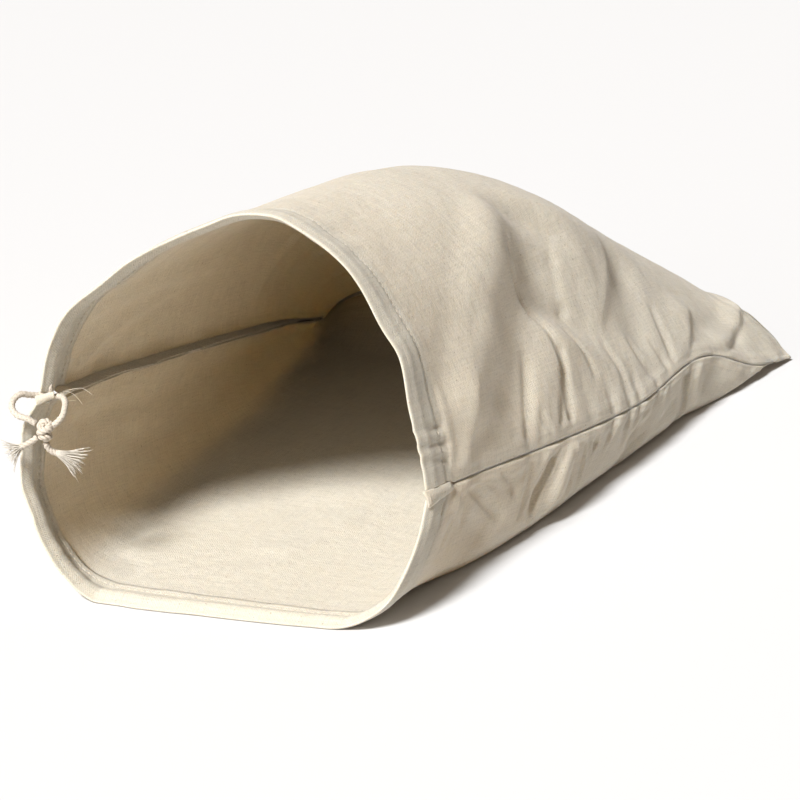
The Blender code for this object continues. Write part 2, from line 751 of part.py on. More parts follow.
def clear_scene():
    """Remove what the file holds."""
    for old in list(bpy.data.objects):
        bpy.data.objects.remove(old, do_unlink=True)


def cotton(name, colour, roughness):
    """A plain cotton material."""
    material = bpy.data.materials.new(name)
    material.use_nodes = True
    shader = material.node_tree.nodes["Principled BSDF"]
    shader.inputs["Base Color"].default_value = (*colour, 1)
    shader.inputs["Roughness"].default_value = roughness
    shader.inputs["Metallic"].default_value = 0
    return material


def build():
    """Build every piece of the bag."""
    clear_scene()
    add_panel("upper_panel", cotton("upper_cotton", (0.61, 0.53, 0.43), 0.9))
    add_panel("lower_panel", cotton("lower_cotton", (0.60, 0.52, 0.42), 0.9))
    add_cord("drawstring", drawstring_points(), cotton("cord_cotton", (0.78, 0.72, 0.62), 0.85))
    add_knot(cotton("knot_cotton", (0.77, 0.71, 0.61), 0.85))
    for side, end in (("left", LEFT_END), ("right", RIGHT_END)):
        route = evenly_spaced((off_knot(end[0]), *end), CORD_STEP)
        add_cord(f"{side}_end", route, cotton(f"{side}_end_cotton", (0.78, 0.72, 0.62), 0.85))
        add_tuft(f"{side}_tuft", end, cotton(f"{side}_tuft_cotton", (0.83, 0.78, 0.69), 0.9))


build()
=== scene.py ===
"""Cotton drawstring bread bag, dressed: fine cloth with hems, seams, creases and stitches, and its tied cord.

Tables and lengths are in millimetres, in the same place as the model's own, and become metres in placed().
A place on a panel is given by two cloth distances: across from the left seam, along from the mouth.
"""

import math

import bpy
import numpy as np
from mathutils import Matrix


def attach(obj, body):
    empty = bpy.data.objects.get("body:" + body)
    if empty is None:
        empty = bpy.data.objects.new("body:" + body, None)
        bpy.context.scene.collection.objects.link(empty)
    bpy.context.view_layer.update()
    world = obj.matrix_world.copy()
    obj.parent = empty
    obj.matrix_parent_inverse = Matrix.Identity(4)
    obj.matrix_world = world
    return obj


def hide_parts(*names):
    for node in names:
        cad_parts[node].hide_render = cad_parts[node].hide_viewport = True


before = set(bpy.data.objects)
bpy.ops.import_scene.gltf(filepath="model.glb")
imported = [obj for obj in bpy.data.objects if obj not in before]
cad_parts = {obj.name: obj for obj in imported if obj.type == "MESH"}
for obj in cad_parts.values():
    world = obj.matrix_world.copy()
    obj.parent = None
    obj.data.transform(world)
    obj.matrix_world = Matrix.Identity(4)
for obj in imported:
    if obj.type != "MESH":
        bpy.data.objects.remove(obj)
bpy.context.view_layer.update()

METRES = 0.001
FOOTPRINT_MIDDLE = (19.15, 205.36)

# Driving sizes of the flat bag, its cloth and its cord
BAG_WIDTH = 300.0
BAG_LENGTH = 400.0
CLOTH = 0.5
CORD = 3.0
HEM = 20.0

# The way each sheet faces, away from the other
FACING = {"upper_panel": 1, "lower_panel": -1}

# The cloth's middle layer lies this high where the bag rests
REST = CLOTH / 2 + 0.1

# The cord lies in the hem's channel, this far inside the outer layer, which bulges a little over it
CORD_DEPTH = 1.85
CORD_BULGE = 0.5
CORD_BULGE_WIDTH = 2.6
CORD_PLACE = 6.5
SLIT_PLACES = {"upper_panel": 5.0, "lower_panel": 9.0}
SLIT_REACH = 40.0
CORD_STEP = 0.8
END_STEP = 0.6
TURN_POINTS = 49
CORD_SIDES = 24
TWIST_STRANDS = 3
TWIST_PITCH = 6.0
TWIST_DEPTH = 0.34

# A direction that no tube starts in
TUBE_ASIDE = (0.3, 0.2, 1.0)

# The part of the channel that the cord's route is read in, and at how many places
CHANNEL_RUN = (5.0, 296.0)
CHANNEL_STEPS = 48

# How far each sheet stands from the seam's own line, sewn shut and at the slit by the mouth
SEWN_HALF = 0.25
SLIT_HALF = 2.15
SLIT = 21.0
SLIT_CLOSING = 9.0
SEAM_HOLD = 2.0
SEAM_BLEND = 26.0
NORMAL_STEP = 6.0
SMALL_STEP = 1.0
OPENING_SHARE = 0.6

# Distance along the cloth: left seam, right seam
SEAMS = {
    0: ((-87.3, 11, 83.4), (80.3, 45, 50)),
    20: ((-87.8, 31, 81.5), (83.5, 64, 48.6)),
    50: ((-88.2, 60, 78), (90.5, 93, 45.5)),
    100: ((-88, 110, 70), (101, 142, 40)),
    200: ((-86, 206, 54), (119, 239, 30.6)),
    300: ((-99, 303, 29), (131, 336, 27)),
    350: ((-109, 351, 12), (145, 380, 9)),
    400: ((-117, 391, 1.4), (155, 421, 1.4)),
}

# Sections of the upper panel between the seams, from left to right, by distance along the cloth
UPPER_SECTIONS = {
    0: (
        (-83.5, 17, 106), (-74.1, 24, 125.5), (-64.2, 29, 134.6), (-43.7, 37, 147.9),
        (-20.6, 44, 159.3), (-9.2, 47, 163.9), (1, 48, 165.4), (10.4, 48, 165),
        (19.5, 48, 161.4), (42.3, 48, 146.3), (60.3, 48, 118.7), (65.3, 48, 111.8),
        (72.1, 47, 86.1), (76.4, 46.5, 71),
    ),
    50: (
        (-84, 68, 98), (-72, 75, 120), (-48, 86, 139), (-20, 94, 154), (4, 97, 160.5),
        (32, 98, 153), (58, 98, 130), (72, 98, 102), (84, 97, 72),
    ),
    100: (
        (-82, 116, 92), (-68, 126, 117), (-42, 136, 137), (4, 146, 156), (44, 147, 146),
        (70, 148, 118), (86, 148, 84),
    ),
    200: (
        (-80, 212, 82), (-68, 222, 106), (-42, 232, 125), (6, 246, 138), (46, 249, 133),
        (74, 250, 118), (94, 248, 84), (108, 244, 56),
    ),
    300: (
        (-92, 307, 50), (-60, 318, 80), (0, 332, 93), (56, 336, 89), (88, 336, 77),
        (112, 336, 52),
    ),
    350: (
        (-104, 353, 26), (-66, 362, 54), (0, 370, 66), (66, 372, 64), (104, 371, 55),
        (128, 374, 31),
    ),
}

# Sections of the lower panel between the seams, from left to right
LOWER_SECTIONS = {
    0: (
        (-95.5, 5, 64.6), (-92.1, 0, 48.2), (-85.5, -4, 36.6), (-77.2, -7, 22.6),
        (-68.2, -9, 12.1), (-59.2, -10, 4.5), (-51.7, -9.8, 0.5), (-8, -5.5, 0.5),
        (50.9, 3, 0.5), (58, 4.5, 1.4), (66.6, 6, 5.1), (75.5, 12, 12), (80.5, 20, 23.3),
        (82.4, 30, 35),
    ),
    50: (
        (-96, 52, 56), (-93, 46, 34), (-84, 42, 13), (-70, 40, 2.5), (-54, 40, 0.5), (0, 42, 0.5),
        (68, 50, 0.5), (82, 60, 9), (89, 76, 26),
    ),
    100: (
        (-95, 100, 44), (-93, 96, 24), (-84, 92, 8), (-71, 90, 1.5), (-54, 90, 0.5), (8, 92, 0.5),
        (86, 98, 0.5), (96, 112, 10), (100.5, 130, 26),
    ),
    200: (
        (-94, 197, 34), (-93, 194, 18), (-85, 190, 6), (-73, 188, 1.2), (-56, 188, 0.5), (10, 191, 0.5),
        (104, 198, 0.5), (112, 208, 7), (117, 224, 19),
    ),
    300: (
        (-105, 299, 17), (-102, 297, 8), (-95, 295, 2.6), (-84, 294, 0.7), (-66, 294, 0.5), (10, 296, 0.5),
        (119, 297, 0.5), (126, 306, 5), (129.5, 320, 16),
    ),
    350: (
        (-111, 349, 6), (-106, 348, 2.5), (-92, 347, 1.2), (-60, 346, 1.6), (10, 345, 5), (100, 345, 2),
        (130, 349, 0.5), (139, 362, 3),
    ),
}

# The far edge, where both panels end, between its two corners
FAR_EDGE = (
    (-110, 391, 10), (-72, 394, 26), (4, 398, 33), (70, 399, 36), (118, 396, 39),
    (127.4, 396, 36), (134, 400, 31.5), (139.5, 407, 24), (146.6, 415, 13.5), (151, 419, 6),
)

# Main folds. Places are (across, along); a depth above zero is a trough, below zero a ridge.
# path, half width, depth
FOLDS = {
    "upper_panel": (
        (((206, 160), (220, 144), (236, 122), (254, 98), (284, 66)), 30, 4.2),
        (((204, 204), (226, 196), (258, 176)), 20, -1.8),
        (((236, 100), (262, 58), (284, 26)), 24, -2.5),
        (((222, 262), (258, 236), (284, 212)), 24, 3.5),
        (((290, 292), (280, 330), (268, 366)), 18, 1.6),
        (((60, 0), (70, 60)), 26, 2.0),
    ),
    "lower_panel": (
        (((300, 104), (280, 108), (258, 118)), 18, 2.0),
        (((290, 214), (270, 222), (256, 236)), 20, 3.0),
        (((284, 24), (268, 52), (256, 84)), 18, 2.4),
        (((26, 0), (30, 60)), 22, 3.0),
    ),
}
FOLD_FADE_START = 7.0
FOLD_FADE_SIDE = 18.0
FOLD_FADE_FAR = 45.0

# A fold or crease fades at an end that lies free, this far from every edge,
# over this length or this share of its path, whichever is less
FREE_END = 8.0
END_FADE = 20.0
END_SHARE = 0.35

# Finer creases, steeper on one side than on the other.
# path, half width to the left of the path, half width to the right, depth
CREASES = {
    "upper_panel": (
        (
            ((188, 158), (190, 142), (196, 127), (210, 104), (228, 74), (240, 60), (255, 45), (280, 30)),
            26, 20, -2.6,
        ),
        (((186, 186), (198, 178), (210, 169), (224, 162), (238, 156), (260, 144)), 70, 46, 8.4),
        (((206, 190), (216, 184), (228, 178), (242, 171), (256, 163)), 14, 6, -1.2),
        (((208, 128), (224, 127), (240, 129), (252, 134), (268, 133), (292, 128)), 8, 3, 2.2),
        (((200, 148), (208, 140), (216, 134), (226, 129)), 4, 3, -1.2),
        (((250, 110), (264, 102), (279, 94), (297, 84)), 8, 3, 1.6),
        (((250, 144), (268, 134), (285, 123), (297, 116)), 6, 3, 1.8),
        (((248, 150), (261, 158), (272, 162), (284, 165)), 4, 3, 1.5),
        (((243, 172), (247, 165), (251, 160)), 4, 5, 1.2),
        (((226, 250), (237, 238), (255, 209), (270, 188)), 22, 10, 2.2),
        (((262, 314), (278, 293), (296, 270)), 5, 22, -2.0),
        (((250, 398), (268, 368), (281, 342), (298, 308)), 4, 15, -2.2),
        (((270, 372), (286, 338), (298, 314)), 7, 5, 1.0),
        (((248, 54), (258, 50), (276, 42), (292, 35)), 4, 10, -1.0),
        (((246, 24), (285, 23), (296, 22)), 4, 3, -0.8),
        (((270, 1), (272, 12), (273, 24)), 3, 3, 1.8),
        (((279, 1), (280, 12), (282, 26)), 3, 3, 2.2),
        (((287, 2), (288, 12), (291, 24)), 3, 3, 1.8),
        (((280, 106), (288, 104), (294, 108)), 3, 4, 1.1),
        (((262, 185), (274, 188), (288, 194)), 5, 4, 1.2),
        (((266, 214), (278, 216), (292, 222)), 6, 4, 1.2),
        (((274, 238), (286, 240), (296, 244)), 4, 4, 1.0),
        (((256, 262), (276, 256), (294, 252)), 7, 5, 1.3),
        (((110, 20), (118, 60)), 10, 10, 0.9),
        (((170, 8), (176, 44)), 9, 9, 0.8),
        (((84, 4), (92, 30), (90, 60)), 7, 8, 0.8),
        (((34, 10), (44, 80), (40, 160)), 10, 12, 1.4),
        (((2, 26), (16, 48), (34, 92)), 6, 7, 1.3),
        (((3, 52), (20, 82), (30, 130)), 7, 6, -0.9),
        (((120, 396), (128, 340), (120, 290)), 10, 14, 1.6),
        (((60, 396), (74, 350), (84, 300)), 12, 10, 1.8),
        (((186, 396), (182, 350), (190, 310)), 12, 10, 1.4),
        (((152, 396), (158, 366), (150, 330)), 7, 9, -1.0),
        (((10, 210), (40, 232), (70, 240)), 10, 12, 1.5),
        (((12, 250), (36, 278), (60, 290)), 8, 12, -1.4),
        (((6, 330), (30, 338), (52, 352)), 7, 9, 1.4),
    ),
    "lower_panel": (
        (((252, 122), (262, 117), (277, 113), (292, 114), (300, 118)), 3, 9, 3.2),
        (((254, 138), (266, 131), (284, 127), (300, 129)), 15, 10, -2.9),
        (((246, 160), (261, 151), (280, 140), (298, 131)), 3, 2, -1.2),
        (((250, 168), (274, 154), (298, 143)), 3, 2, -1.1),
        (((284, 160), (297, 153)), 5, 4, 1.9),
        (((250, 297), (280, 280), (300, 270)), 4, 12, 2.2),
        (((262, 302), (280, 293), (296, 285)), 9, 6, -1.4),
        (((299, 28), (290, 46), (280, 62), (264, 88)), 3, 5, 2.1),
        (((298, 26), (284, 42), (268, 52)), 3, 4, 1.7),
        (((292, 30), (276, 34), (262, 34)), 3, 4, -1.3),
        (((300, 56), (288, 78), (276, 92)), 4, 3, 1.8),
        (((299, 40), (293, 62), (284, 84)), 3, 4, -1.5),
        (((299, 25), (287, 33), (274, 40)), 4, 4, 0.9),
        (((296, 92), (288, 94), (270, 99), (258, 100)), 4, 6, 1.3),
        (((268, 222), (283, 215), (296, 214)), 6, 8, 1.4),
        (((272, 252), (287, 243), (298, 240)), 5, 7, -1.2),
        (((298, 190), (286, 194), (274, 200)), 6, 5, 1.2),
        (((58, 0), (62, 18)), 4, 5, 0.9),
        (((76, 0), (78, 16)), 4, 4, 0.8),
        (((92, 0), (96, 20)), 5, 4, 0.8),
        (((12, 0), (18, 40), (14, 110)), 8, 10, 1.2),
        (((30, 70), (36, 150), (28, 220)), 10, 12, 1.4),
        (((2, 24), (10, 40), (24, 64)), 5, 6, 1.0),
        (((120, 40), (126, 90), (120, 150)), 12, 14, -0.9),
        (((170, 30), (176, 110), (168, 180)), 12, 16, -0.8),
    ),
}

# Uneven cloth: size of the unevenness, its height, and a seed, which is one more on the upper panel
WRINKLES = ((46, 1.2, 14), (17, 0.38, 22), (7, 0.13, 34))

# Creases and unevenness end at the seams, from this place over this distance, and are less in the hem
CREASE_START = 1.5
CREASE_FADE = 9.0
HEM_CREASES = 0.35
HEM_CREASES_START = 4.0
HEM_CREASES_FADE = 22.0

# The hem's layers: place along the cloth from the mouth's edge, depth inside the outer layer
HEM_PROFILE = (
    (20.0, 0.95), (18.2, 0.75), (16.4, 0.52), (14.6, 0.68), (12.8, 0.9), (11.2, 1.5), (9.6, 2.6), (8.2, 3.4),
    (6.5, 3.65), (4.8, 3.4), (3.4, 2.6), (2.3, 1.7), (1.4, 1.2), (0.6, 0.95), (0.05, 0.68), (0.05, 0.32),
    (0.6, 0.06),
)
STITCH_PLACE = 16.4
THREAD = 0.19
THREAD_SIDES = 6
STITCH_TROUGH = 0.65
STITCH_TROUGH_WIDTH = 1.0
HEM_STEP = 0.4
HEM_STEP_BEFORE = 0.6
HEM_STEP_WIDTH = 1.8

# The raw edge of the hem's inner layer lies past this place and flutters: size, height and seed
RAW_EDGE = 17.0
HEM_FLUTTER = (9.0, 0.5, 71)

# Stitches: spacing, half length, distance from the seams and how far each point of one stands out
STITCH_PITCH = 3.1
STITCH_HALF = 1.15
STITCH_MARGIN = 3.0
STITCH_SHAPE = (0.30, 0.02, -0.08, 0.02, 0.30)

# Rows of stitches on the outer and the inner layer: depth inside the outer layer, shift along the row
STITCH_ROWS = ((-0.34, 0.0), (0.86, 1.5))

# Puckers along the sewing: how far they reach, their spacing along it, height, fineness across it, seed
PUCKERS = {
    "hem": (8.0, 6.5, 0.55, 0.2, 57),
    "seam": (14.0, 6.0, 1.15, 0.25, 41),
}
PUCKER_START = 1.5
SEWING_START = 4.0
SEAM_GROOVE = 0.9
SEAM_GROOVE_WIDTH = 0.65

# How far the mouth's edge wanders along the bag: size of the waves, their height and a seed
RIM_WAVES = ((38, 1.3, 16), (13, 0.6, 20))
RIM_WAVE_REACH = 26.0
RIM_WAVE_CORNER = 16.0
ROLLED_EDGE = 5.6
ROLLED_EDGE_WIDTH = 1.6
ROLLED_EDGE_HEIGHT = 0.45

# Spacing of the fine grid
GRID = 2.0
MOUTH_GRID = 1.2
EDGE_GRID = (0, 0.35, 0.8, 1.4, 2.2, 3.2, 4.4, 5.8)

# The allowance inside the seams
ALLOWANCE = 7.0
ALLOWANCE_START = 10.5
ALLOWANCE_END = 392.0
ALLOWANCE_STEPS = (1.5, 3.0)
ALLOWANCE_ROWS = (0.0, 0.2, 0.45, 0.72, 1.0)
ALLOWANCE_CLIP = 40.0
ALLOWANCE_INSET = 0.6
ALLOWANCE_GAP = 0.05
ALLOWANCE_LIFT = 0.6

# Its unevenness: size, height and seed, and where it is read for the left and the right seam
ALLOWANCE_WAVE = (13.0, 0.8, 83)
ALLOWANCE_WAVE_PLACES = (20.0, 110.0)

# The far allowance is clipped this far from the left and the right corner
FAR_CLIPS = (30.0, 50.0)
FAR_CLIP_FADE = 30.0
FAR_CLIPPED = 0.12
FAR_ROWS = (0.0, 0.3, 0.65, 1.0)
FAR_GAP = 0.12
FAR_LIFT = 0.5

# The turned-in cloth lies this far past the panel in the weave's coordinates
WEAVE_GAP = 1.0

# Overlock threads: spacing, end, thickness, how far they go past the edge, in and out of the cloth
OVERLOCK_STEP = 1.6
OVERLOCK_END = 362.0
OVERLOCK_THREAD = 0.16
OVERLOCK_PAST = 0.25
OVERLOCK_BITE = 0.55
OVERLOCK_LIFT = 0.5
OVERLOCK_DRAW = 0.9
THIN_SIDES = 4

# The turned-in ends of the hems at the slits: corners near top, far top, far bottom and near bottom
FLAPS = {
    "left": ((-88.3, 10.2, 84.2), (-80.4, 13.0, 86.4), (-79.8, 13.0, 83.7), (-87.1, 9.8, 80.1)),
    "right": ((79.9, 42.0, 52.6), (84.4, 63.5, 50.0), (85.2, 62.5, 46.0), (82.4, 42.4, 45.4)),
}
FLAP_BULGE = 0.8
FLAP_RIPPLE = 0.4
FLAP_RIPPLE_TURN = 2.4 * math.pi
FLAP_SIZE = (14, 6)
FLAP_GRID = (13, 9)

# The cord outside the channel: from the knot into the upper hem, and out of the lower hem to the knot
KNOT_MIDDLE = (-79.3, 2, 72.2)
UPPER_STRAND = (
    (-83.0, 0.9, 75.4), (-86.2, -0.2, 77.4), (-91.5, -0.2, 78.6), (-95, 1.8, 80.4), (-96.2, 5.2, 83),
    (-94.6, 8.6, 84.7), (-92.2, 12, 83.6), (-89.8, 14.8, 82.8), (-87.5, 16, 82.7), (-85.4, 16.4, 83),
    (-84.5, 16.5, 84.8),
)
LOWER_STRAND = (
    (-85.9, 19.2, 79.2), (-84.7, 19.4, 80.9), (-82.6, 19.5, 81.8), (-79.4, 18.2, 81.9), (-76.2, 15, 81.4),
    (-74.3, 11, 80.2), (-73.4, 7.2, 78), (-74.8, 4.8, 75.8), (-77.6, 3.0, 73.6),
)
LEFT_END = ((-82.6, 0.6, 69.2), (-84.6, -0.9, 67.5), (-86.4, -2.4, 66.4), (-88.4, -4, 65.4))
RIGHT_END = ((-79.3, 2.3, 66.4), (-78.9, 2.9, 64.2), (-77.4, 3.7, 62.4), (-75.2, 4.6, 61.4))

# The turns of cord on the knot
# height above the knot's middle, half width, half length, way it faces and rise in degrees
KNOT_TURNS = (
    (2.5, 2.1, 2.3, 20, 28),
    (0.2, 2.4, 2.6, 75, -24),
    (-2.7, 1.8, 2.0, 200, 18),
    (0, 1.4, 3.6, 40, 82),
)

# Frayed ends: length, fan across and fan along the view in degrees, droop, strands, seed
TUFTS = {
    "left": (7.4, 44, 22, 1.0, 54, 9),
    "right": (13.4, 34, 14, 0.5, 64, 10),
}

# Each strand: points, share of the cord that it grows from and how far inside, ranges of its length and
# thickness, how much thinner it ends, its waves across and along, and the turn from one strand to the next
STRAND_POINTS = 9
STRAND_ROOTS = 0.82
STRAND_INSIDE = 0.8
STRAND_LENGTHS = (0.72, 1.05)
STRAND_RADII = (0.15, 0.24)
STRAND_THINNING = 0.45
STRAND_EASE = 1.5
WAVE_ACROSS = 0.28
WAVE_TURNS = (7, 12)
WAVE_ALONG = 0.22
WAVE_ALONG_TURN = 9
GOLDEN_TURN = 2.39996

# Loose threads at the slits: thickness from the middle, route points
WISPS = (
    (0.13, (-84, 24, 82.5), (-78, 22, 83.5), (-73, 20, 82.2), (-70, 19, 79.6)),
    (0.16, (-83, 26, 82), (-76, 25, 84.4), (-71, 22, 86), (-66, 21, 84.2)),
    (0.13, (-84, 22, 81.5), (-79, 20, 80.2), (-74, 20, 80.8)),
    (0.16, (79, 47, 52), (82.4, 44, 50.4), (83.6, 42.6, 47)),
)
WISP_STEP = 1.0
WISP_SIDES = 5


def spline(knots, points, places):
    """A smooth curve through the points, read at the given places."""
    knots = np.asarray(knots, float)
    points = np.asarray(points, float)
    places = np.clip(np.atleast_1d(np.asarray(places, float)), knots[0], knots[-1])
    steps = np.diff(knots)[:, None]
    slopes = np.diff(points, axis=0) / steps
    tangents = np.empty_like(points)
    tangents[0] = slopes[0]
    tangents[-1] = slopes[-1]
    tangents[1:-1] = (slopes[:-1] * steps[1:] + slopes[1:] * steps[:-1]) / (steps[1:] + steps[:-1])
    index = np.clip(np.searchsorted(knots, places, side="right") - 1, 0, len(knots) - 2)
    step = steps[index]
    share = (places - knots[index])[:, None] / step
    start = (1 + 2 * share) * (1 - share) ** 2 * points[index]
    start += share * (1 - share) ** 2 * step * tangents[index]
    end = share ** 2 * (3 - 2 * share) * points[index + 1]
    end += share ** 2 * (share - 1) * step * tangents[index + 1]
    return start + end


def run_lengths(points):
    """Distance from the first point to each point along a polyline."""
    return np.concatenate([[0], np.cumsum(np.linalg.norm(np.diff(points, axis=0), axis=1))])


def evenly_along(points, shares):
    """Points at the given shares of the length of a smooth curve."""
    points = np.asarray(points, float)
    knots = run_lengths(points)
    fine = spline(knots, points, np.linspace(0, knots[-1], 601))
    lengths = run_lengths(fine)
    at = np.asarray(shares) * lengths[-1]
    return np.stack([np.interp(at, lengths, fine[:, axis]) for axis in range(3)], -1)


def evenly_spaced(route, step):
    """Points about a step apart on a smooth curve through the route's points."""
    length = run_lengths(np.asarray(route, float))[-1]
    return evenly_along(route, np.linspace(0, 1, round(length / step) + 1))


def unit(vectors):
    """Vectors scaled to length one."""
    return vectors / np.linalg.norm(vectors, axis=-1, keepdims=True)


def smooth_step(value):
    """Zero below zero, one above one and a soft rise between."""
    share = np.clip(value, 0, 1)
    return share * share * (3 - 2 * share)


def drawn_panel(panel, across, along):
    """The panel as its sections draw it, with both sheets meeting on the seam lines."""
    sections = UPPER_SECTIONS if panel == "upper_panel" else LOWER_SECTIONS
    stations = [s for s in SEAMS if s in sections or s == BAG_LENGTH]
    rows = []
    for station in stations:
        left, right = SEAMS[station]
        between = FAR_EDGE if station == BAG_LENGTH else sections[station]
        rows.append(evenly_along((left, *between, right), across / BAG_WIDTH))
    flat = spline(stations, np.array(rows).reshape(len(rows), -1), along)
    return flat.reshape(len(along), len(across), 3)


def outward(panel, shape, across, along, step=SMALL_STEP):
    """Outward normals of a panel, from points a small step away."""
    side = FACING[panel]
    before = np.clip(across - step, 0, BAG_WIDTH)
    after = np.clip(across + step, 0, BAG_WIDTH)
    toward_mouth = np.clip(along - step, 0, BAG_LENGTH)
    toward_end = np.clip(along + step, 0, BAG_LENGTH)
    along_section = shape(panel, after, along) - shape(panel, before, along)
    along_bag = shape(panel, across, toward_end) - shape(panel, across, toward_mouth)
    return unit(np.cross(along_section, along_bag)) * side


def between_panels(across, along):
    """The middle between the two drawn panels."""
    return (drawn_panel("upper_panel", across, along) + drawn_panel("lower_panel", across, along)) / 2


def square_to(vectors, direction):
    """The part of each vector that is square to a direction of length one."""
    return vectors - direction * np.sum(vectors * direction, axis=-1, keepdims=True)


def across_bag(across, along):
    """Direction from the lower to the upper sheet, read a little inside the seams."""
    inside_across = np.clip(across, SEAM_BLEND, BAG_WIDTH - SEAM_BLEND)
    inside_along = np.minimum(along, BAG_LENGTH - SEAM_BLEND)
    upper = drawn_panel("upper_panel", inside_across, inside_along)
    lower = drawn_panel("lower_panel", inside_across, inside_along)
    upper_normal = outward("upper_panel", drawn_panel, inside_across, inside_along, NORMAL_STEP)
    lower_normal = outward("lower_panel", drawn_panel, inside_across, inside_along, NORMAL_STEP)
    return unit(unit(upper - lower) * OPENING_SHARE + upper_normal - lower_normal)


def seam_distances(across, along):
    """Distances of the grid's lines to the side seams and to the far one."""
    return np.minimum(across, BAG_WIDTH - across)[None, :], (BAG_LENGTH - along)[:, None]


def stand_off(across, along):
    """How far a sheet stands from the middle between the sheets, near the seams."""
    side, far = seam_distances(across, along)
    closed = smooth_step((along - SLIT + SLIT_CLOSING / 2) / SLIT_CLOSING)[:, None]
    side_half = SLIT_HALF + (SEWN_HALF - SLIT_HALF) * closed
    near_side = (1 - smooth_step((side - SEAM_HOLD) / SEAM_BLEND)) * side_half
    near_far = (1 - smooth_step((far - SEAM_HOLD) / SEAM_BLEND)) * SEWN_HALF
    return np.maximum(near_side, near_far)


def parted_panel(panel, across, along):
    """The drawn panel with the two sheets parted along the seams."""
    side = FACING[panel]
    parted = across_bag(across, along) * (side * stand_off(across, along))[:, :, None]
    return drawn_panel(panel, across, along) + parted


def path_distances(path, across, along):
    """For each grid point: its distance to a path over the cloth, the side of it and the share passed."""
    grid = np.stack(np.meshgrid(across, along), -1)
    nearest = np.full(grid.shape[:2], np.inf)
    side = np.ones(grid.shape[:2])
    passed = np.zeros(grid.shape[:2])
    lengths = run_lengths(np.array(path, float))
    for step, (start, end) in enumerate(zip(path[:-1], path[1:])):
        start = np.array(start, float)
        run = np.array(end, float) - start
        share = np.clip((grid - start) @ run / (run @ run), 0, 1)
        offset = grid - (start + share[:, :, None] * run)
        distance = np.linalg.norm(offset, axis=-1)
        closer = distance < nearest
        turn = run[0] * offset[:, :, 1] - run[1] * offset[:, :, 0]
        side = np.where(closer, np.sign(turn), side)
        here = lengths[step] + share * (lengths[step + 1] - lengths[step])
        passed = np.where(closer, here, passed)
        nearest = np.minimum(nearest, distance)
    return nearest, side, passed / lengths[-1]


def end_fade(path, passed):
    """One along a path, and falling to zero at an end that lies free on the panel."""
    length = run_lengths(np.array(path, float))[-1]
    reach = min(END_FADE / length, END_SHARE)
    fade = np.ones_like(passed)
    for (across, along), away in ((path[0], passed), (path[-1], 1 - passed)):
        room = min(across, BAG_WIDTH - across, along, BAG_LENGTH - along)
        if room > FREE_END:
            fade *= smooth_step(away / reach)
    return fade


def bell(share):
    """A soft bump, one in the middle and zero from one on."""
    return (1 + np.cos(math.pi * np.clip(share, 0, 1))) / 2


def soft_noise(across, along, size, seed):
    """Smooth unevenness between -1 and 1, with features about one size wide."""
    source = np.random.RandomState(seed)
    columns = int(BAG_WIDTH / size) + 4
    rows = int((BAG_LENGTH + 2 * HEM) / size) + 4
    values = source.uniform(-1, 1, (rows, columns))
    x = across / size + 1
    y = (along + HEM) / size + 1
    left = np.floor(x).astype(int)
    low = np.floor(y).astype(int)
    fx = smooth_step(x - left)[None, :]
    fy = smooth_step(y - low)[:, None]
    near = values[np.ix_(low, left)] * (1 - fx) + values[np.ix_(low, left + 1)] * fx
    far = values[np.ix_(low + 1, left)] * (1 - fx) + values[np.ix_(low + 1, left + 1)] * fx
    return near * (1 - fy) + far * fy


def fold_depth(panel, across, along):
    """Depth of folds, creases and unevenness at each grid point."""
    depth = np.zeros((len(along), len(across)))
    for path, half_width, fold in FOLDS[panel]:
        distance, _, passed = path_distances(path, across, along)
        depth += fold * bell(distance / half_width) * end_fade(path, passed)
    side, far = seam_distances(across, along)
    depth *= smooth_step((side - FOLD_FADE_START) / FOLD_FADE_SIDE)
    depth *= smooth_step((far - FOLD_FADE_START) / FOLD_FADE_FAR)
    fine = np.zeros_like(depth)
    for path, left, right, crease in CREASES[panel]:
        distance, turn, passed = path_distances(path, across, along)
        fine += crease * bell(distance / np.where(turn > 0, left, right)) * end_fade(path, passed)
    for size, height, seed in WRINKLES:
        fine += height * soft_noise(across, along, size, seed + (panel == "upper_panel"))
    seamward = smooth_step((np.minimum(side, far) - CREASE_START) / CREASE_FADE)
    past_hem = smooth_step((along - HEM_CREASES_START) / HEM_CREASES_FADE)[:, None]
    return depth + fine * seamward * (HEM_CREASES + (1 - HEM_CREASES) * past_hem)


def sewn_share(along):
    """How far the side seams are sewn shut, from zero at the slits to one."""
    return smooth_step((along - SLIT) / SEWING_START)[:, None]


def seam_groove(across, along):
    """Vectors into the bag where the sewing draws both sheets in, least where they lie flat on each other."""
    side, far = seam_distances(across, along)
    seam = np.minimum(side, far)
    upper = outward("upper_panel", parted_panel, across, along)
    lower = outward("lower_panel", parted_panel, across, along)
    depth = SEAM_GROOVE * np.exp(-(seam / SEAM_GROOVE_WIDTH) ** 2) * sewn_share(along)
    return (upper + lower) / 2 * depth[:, :, None]


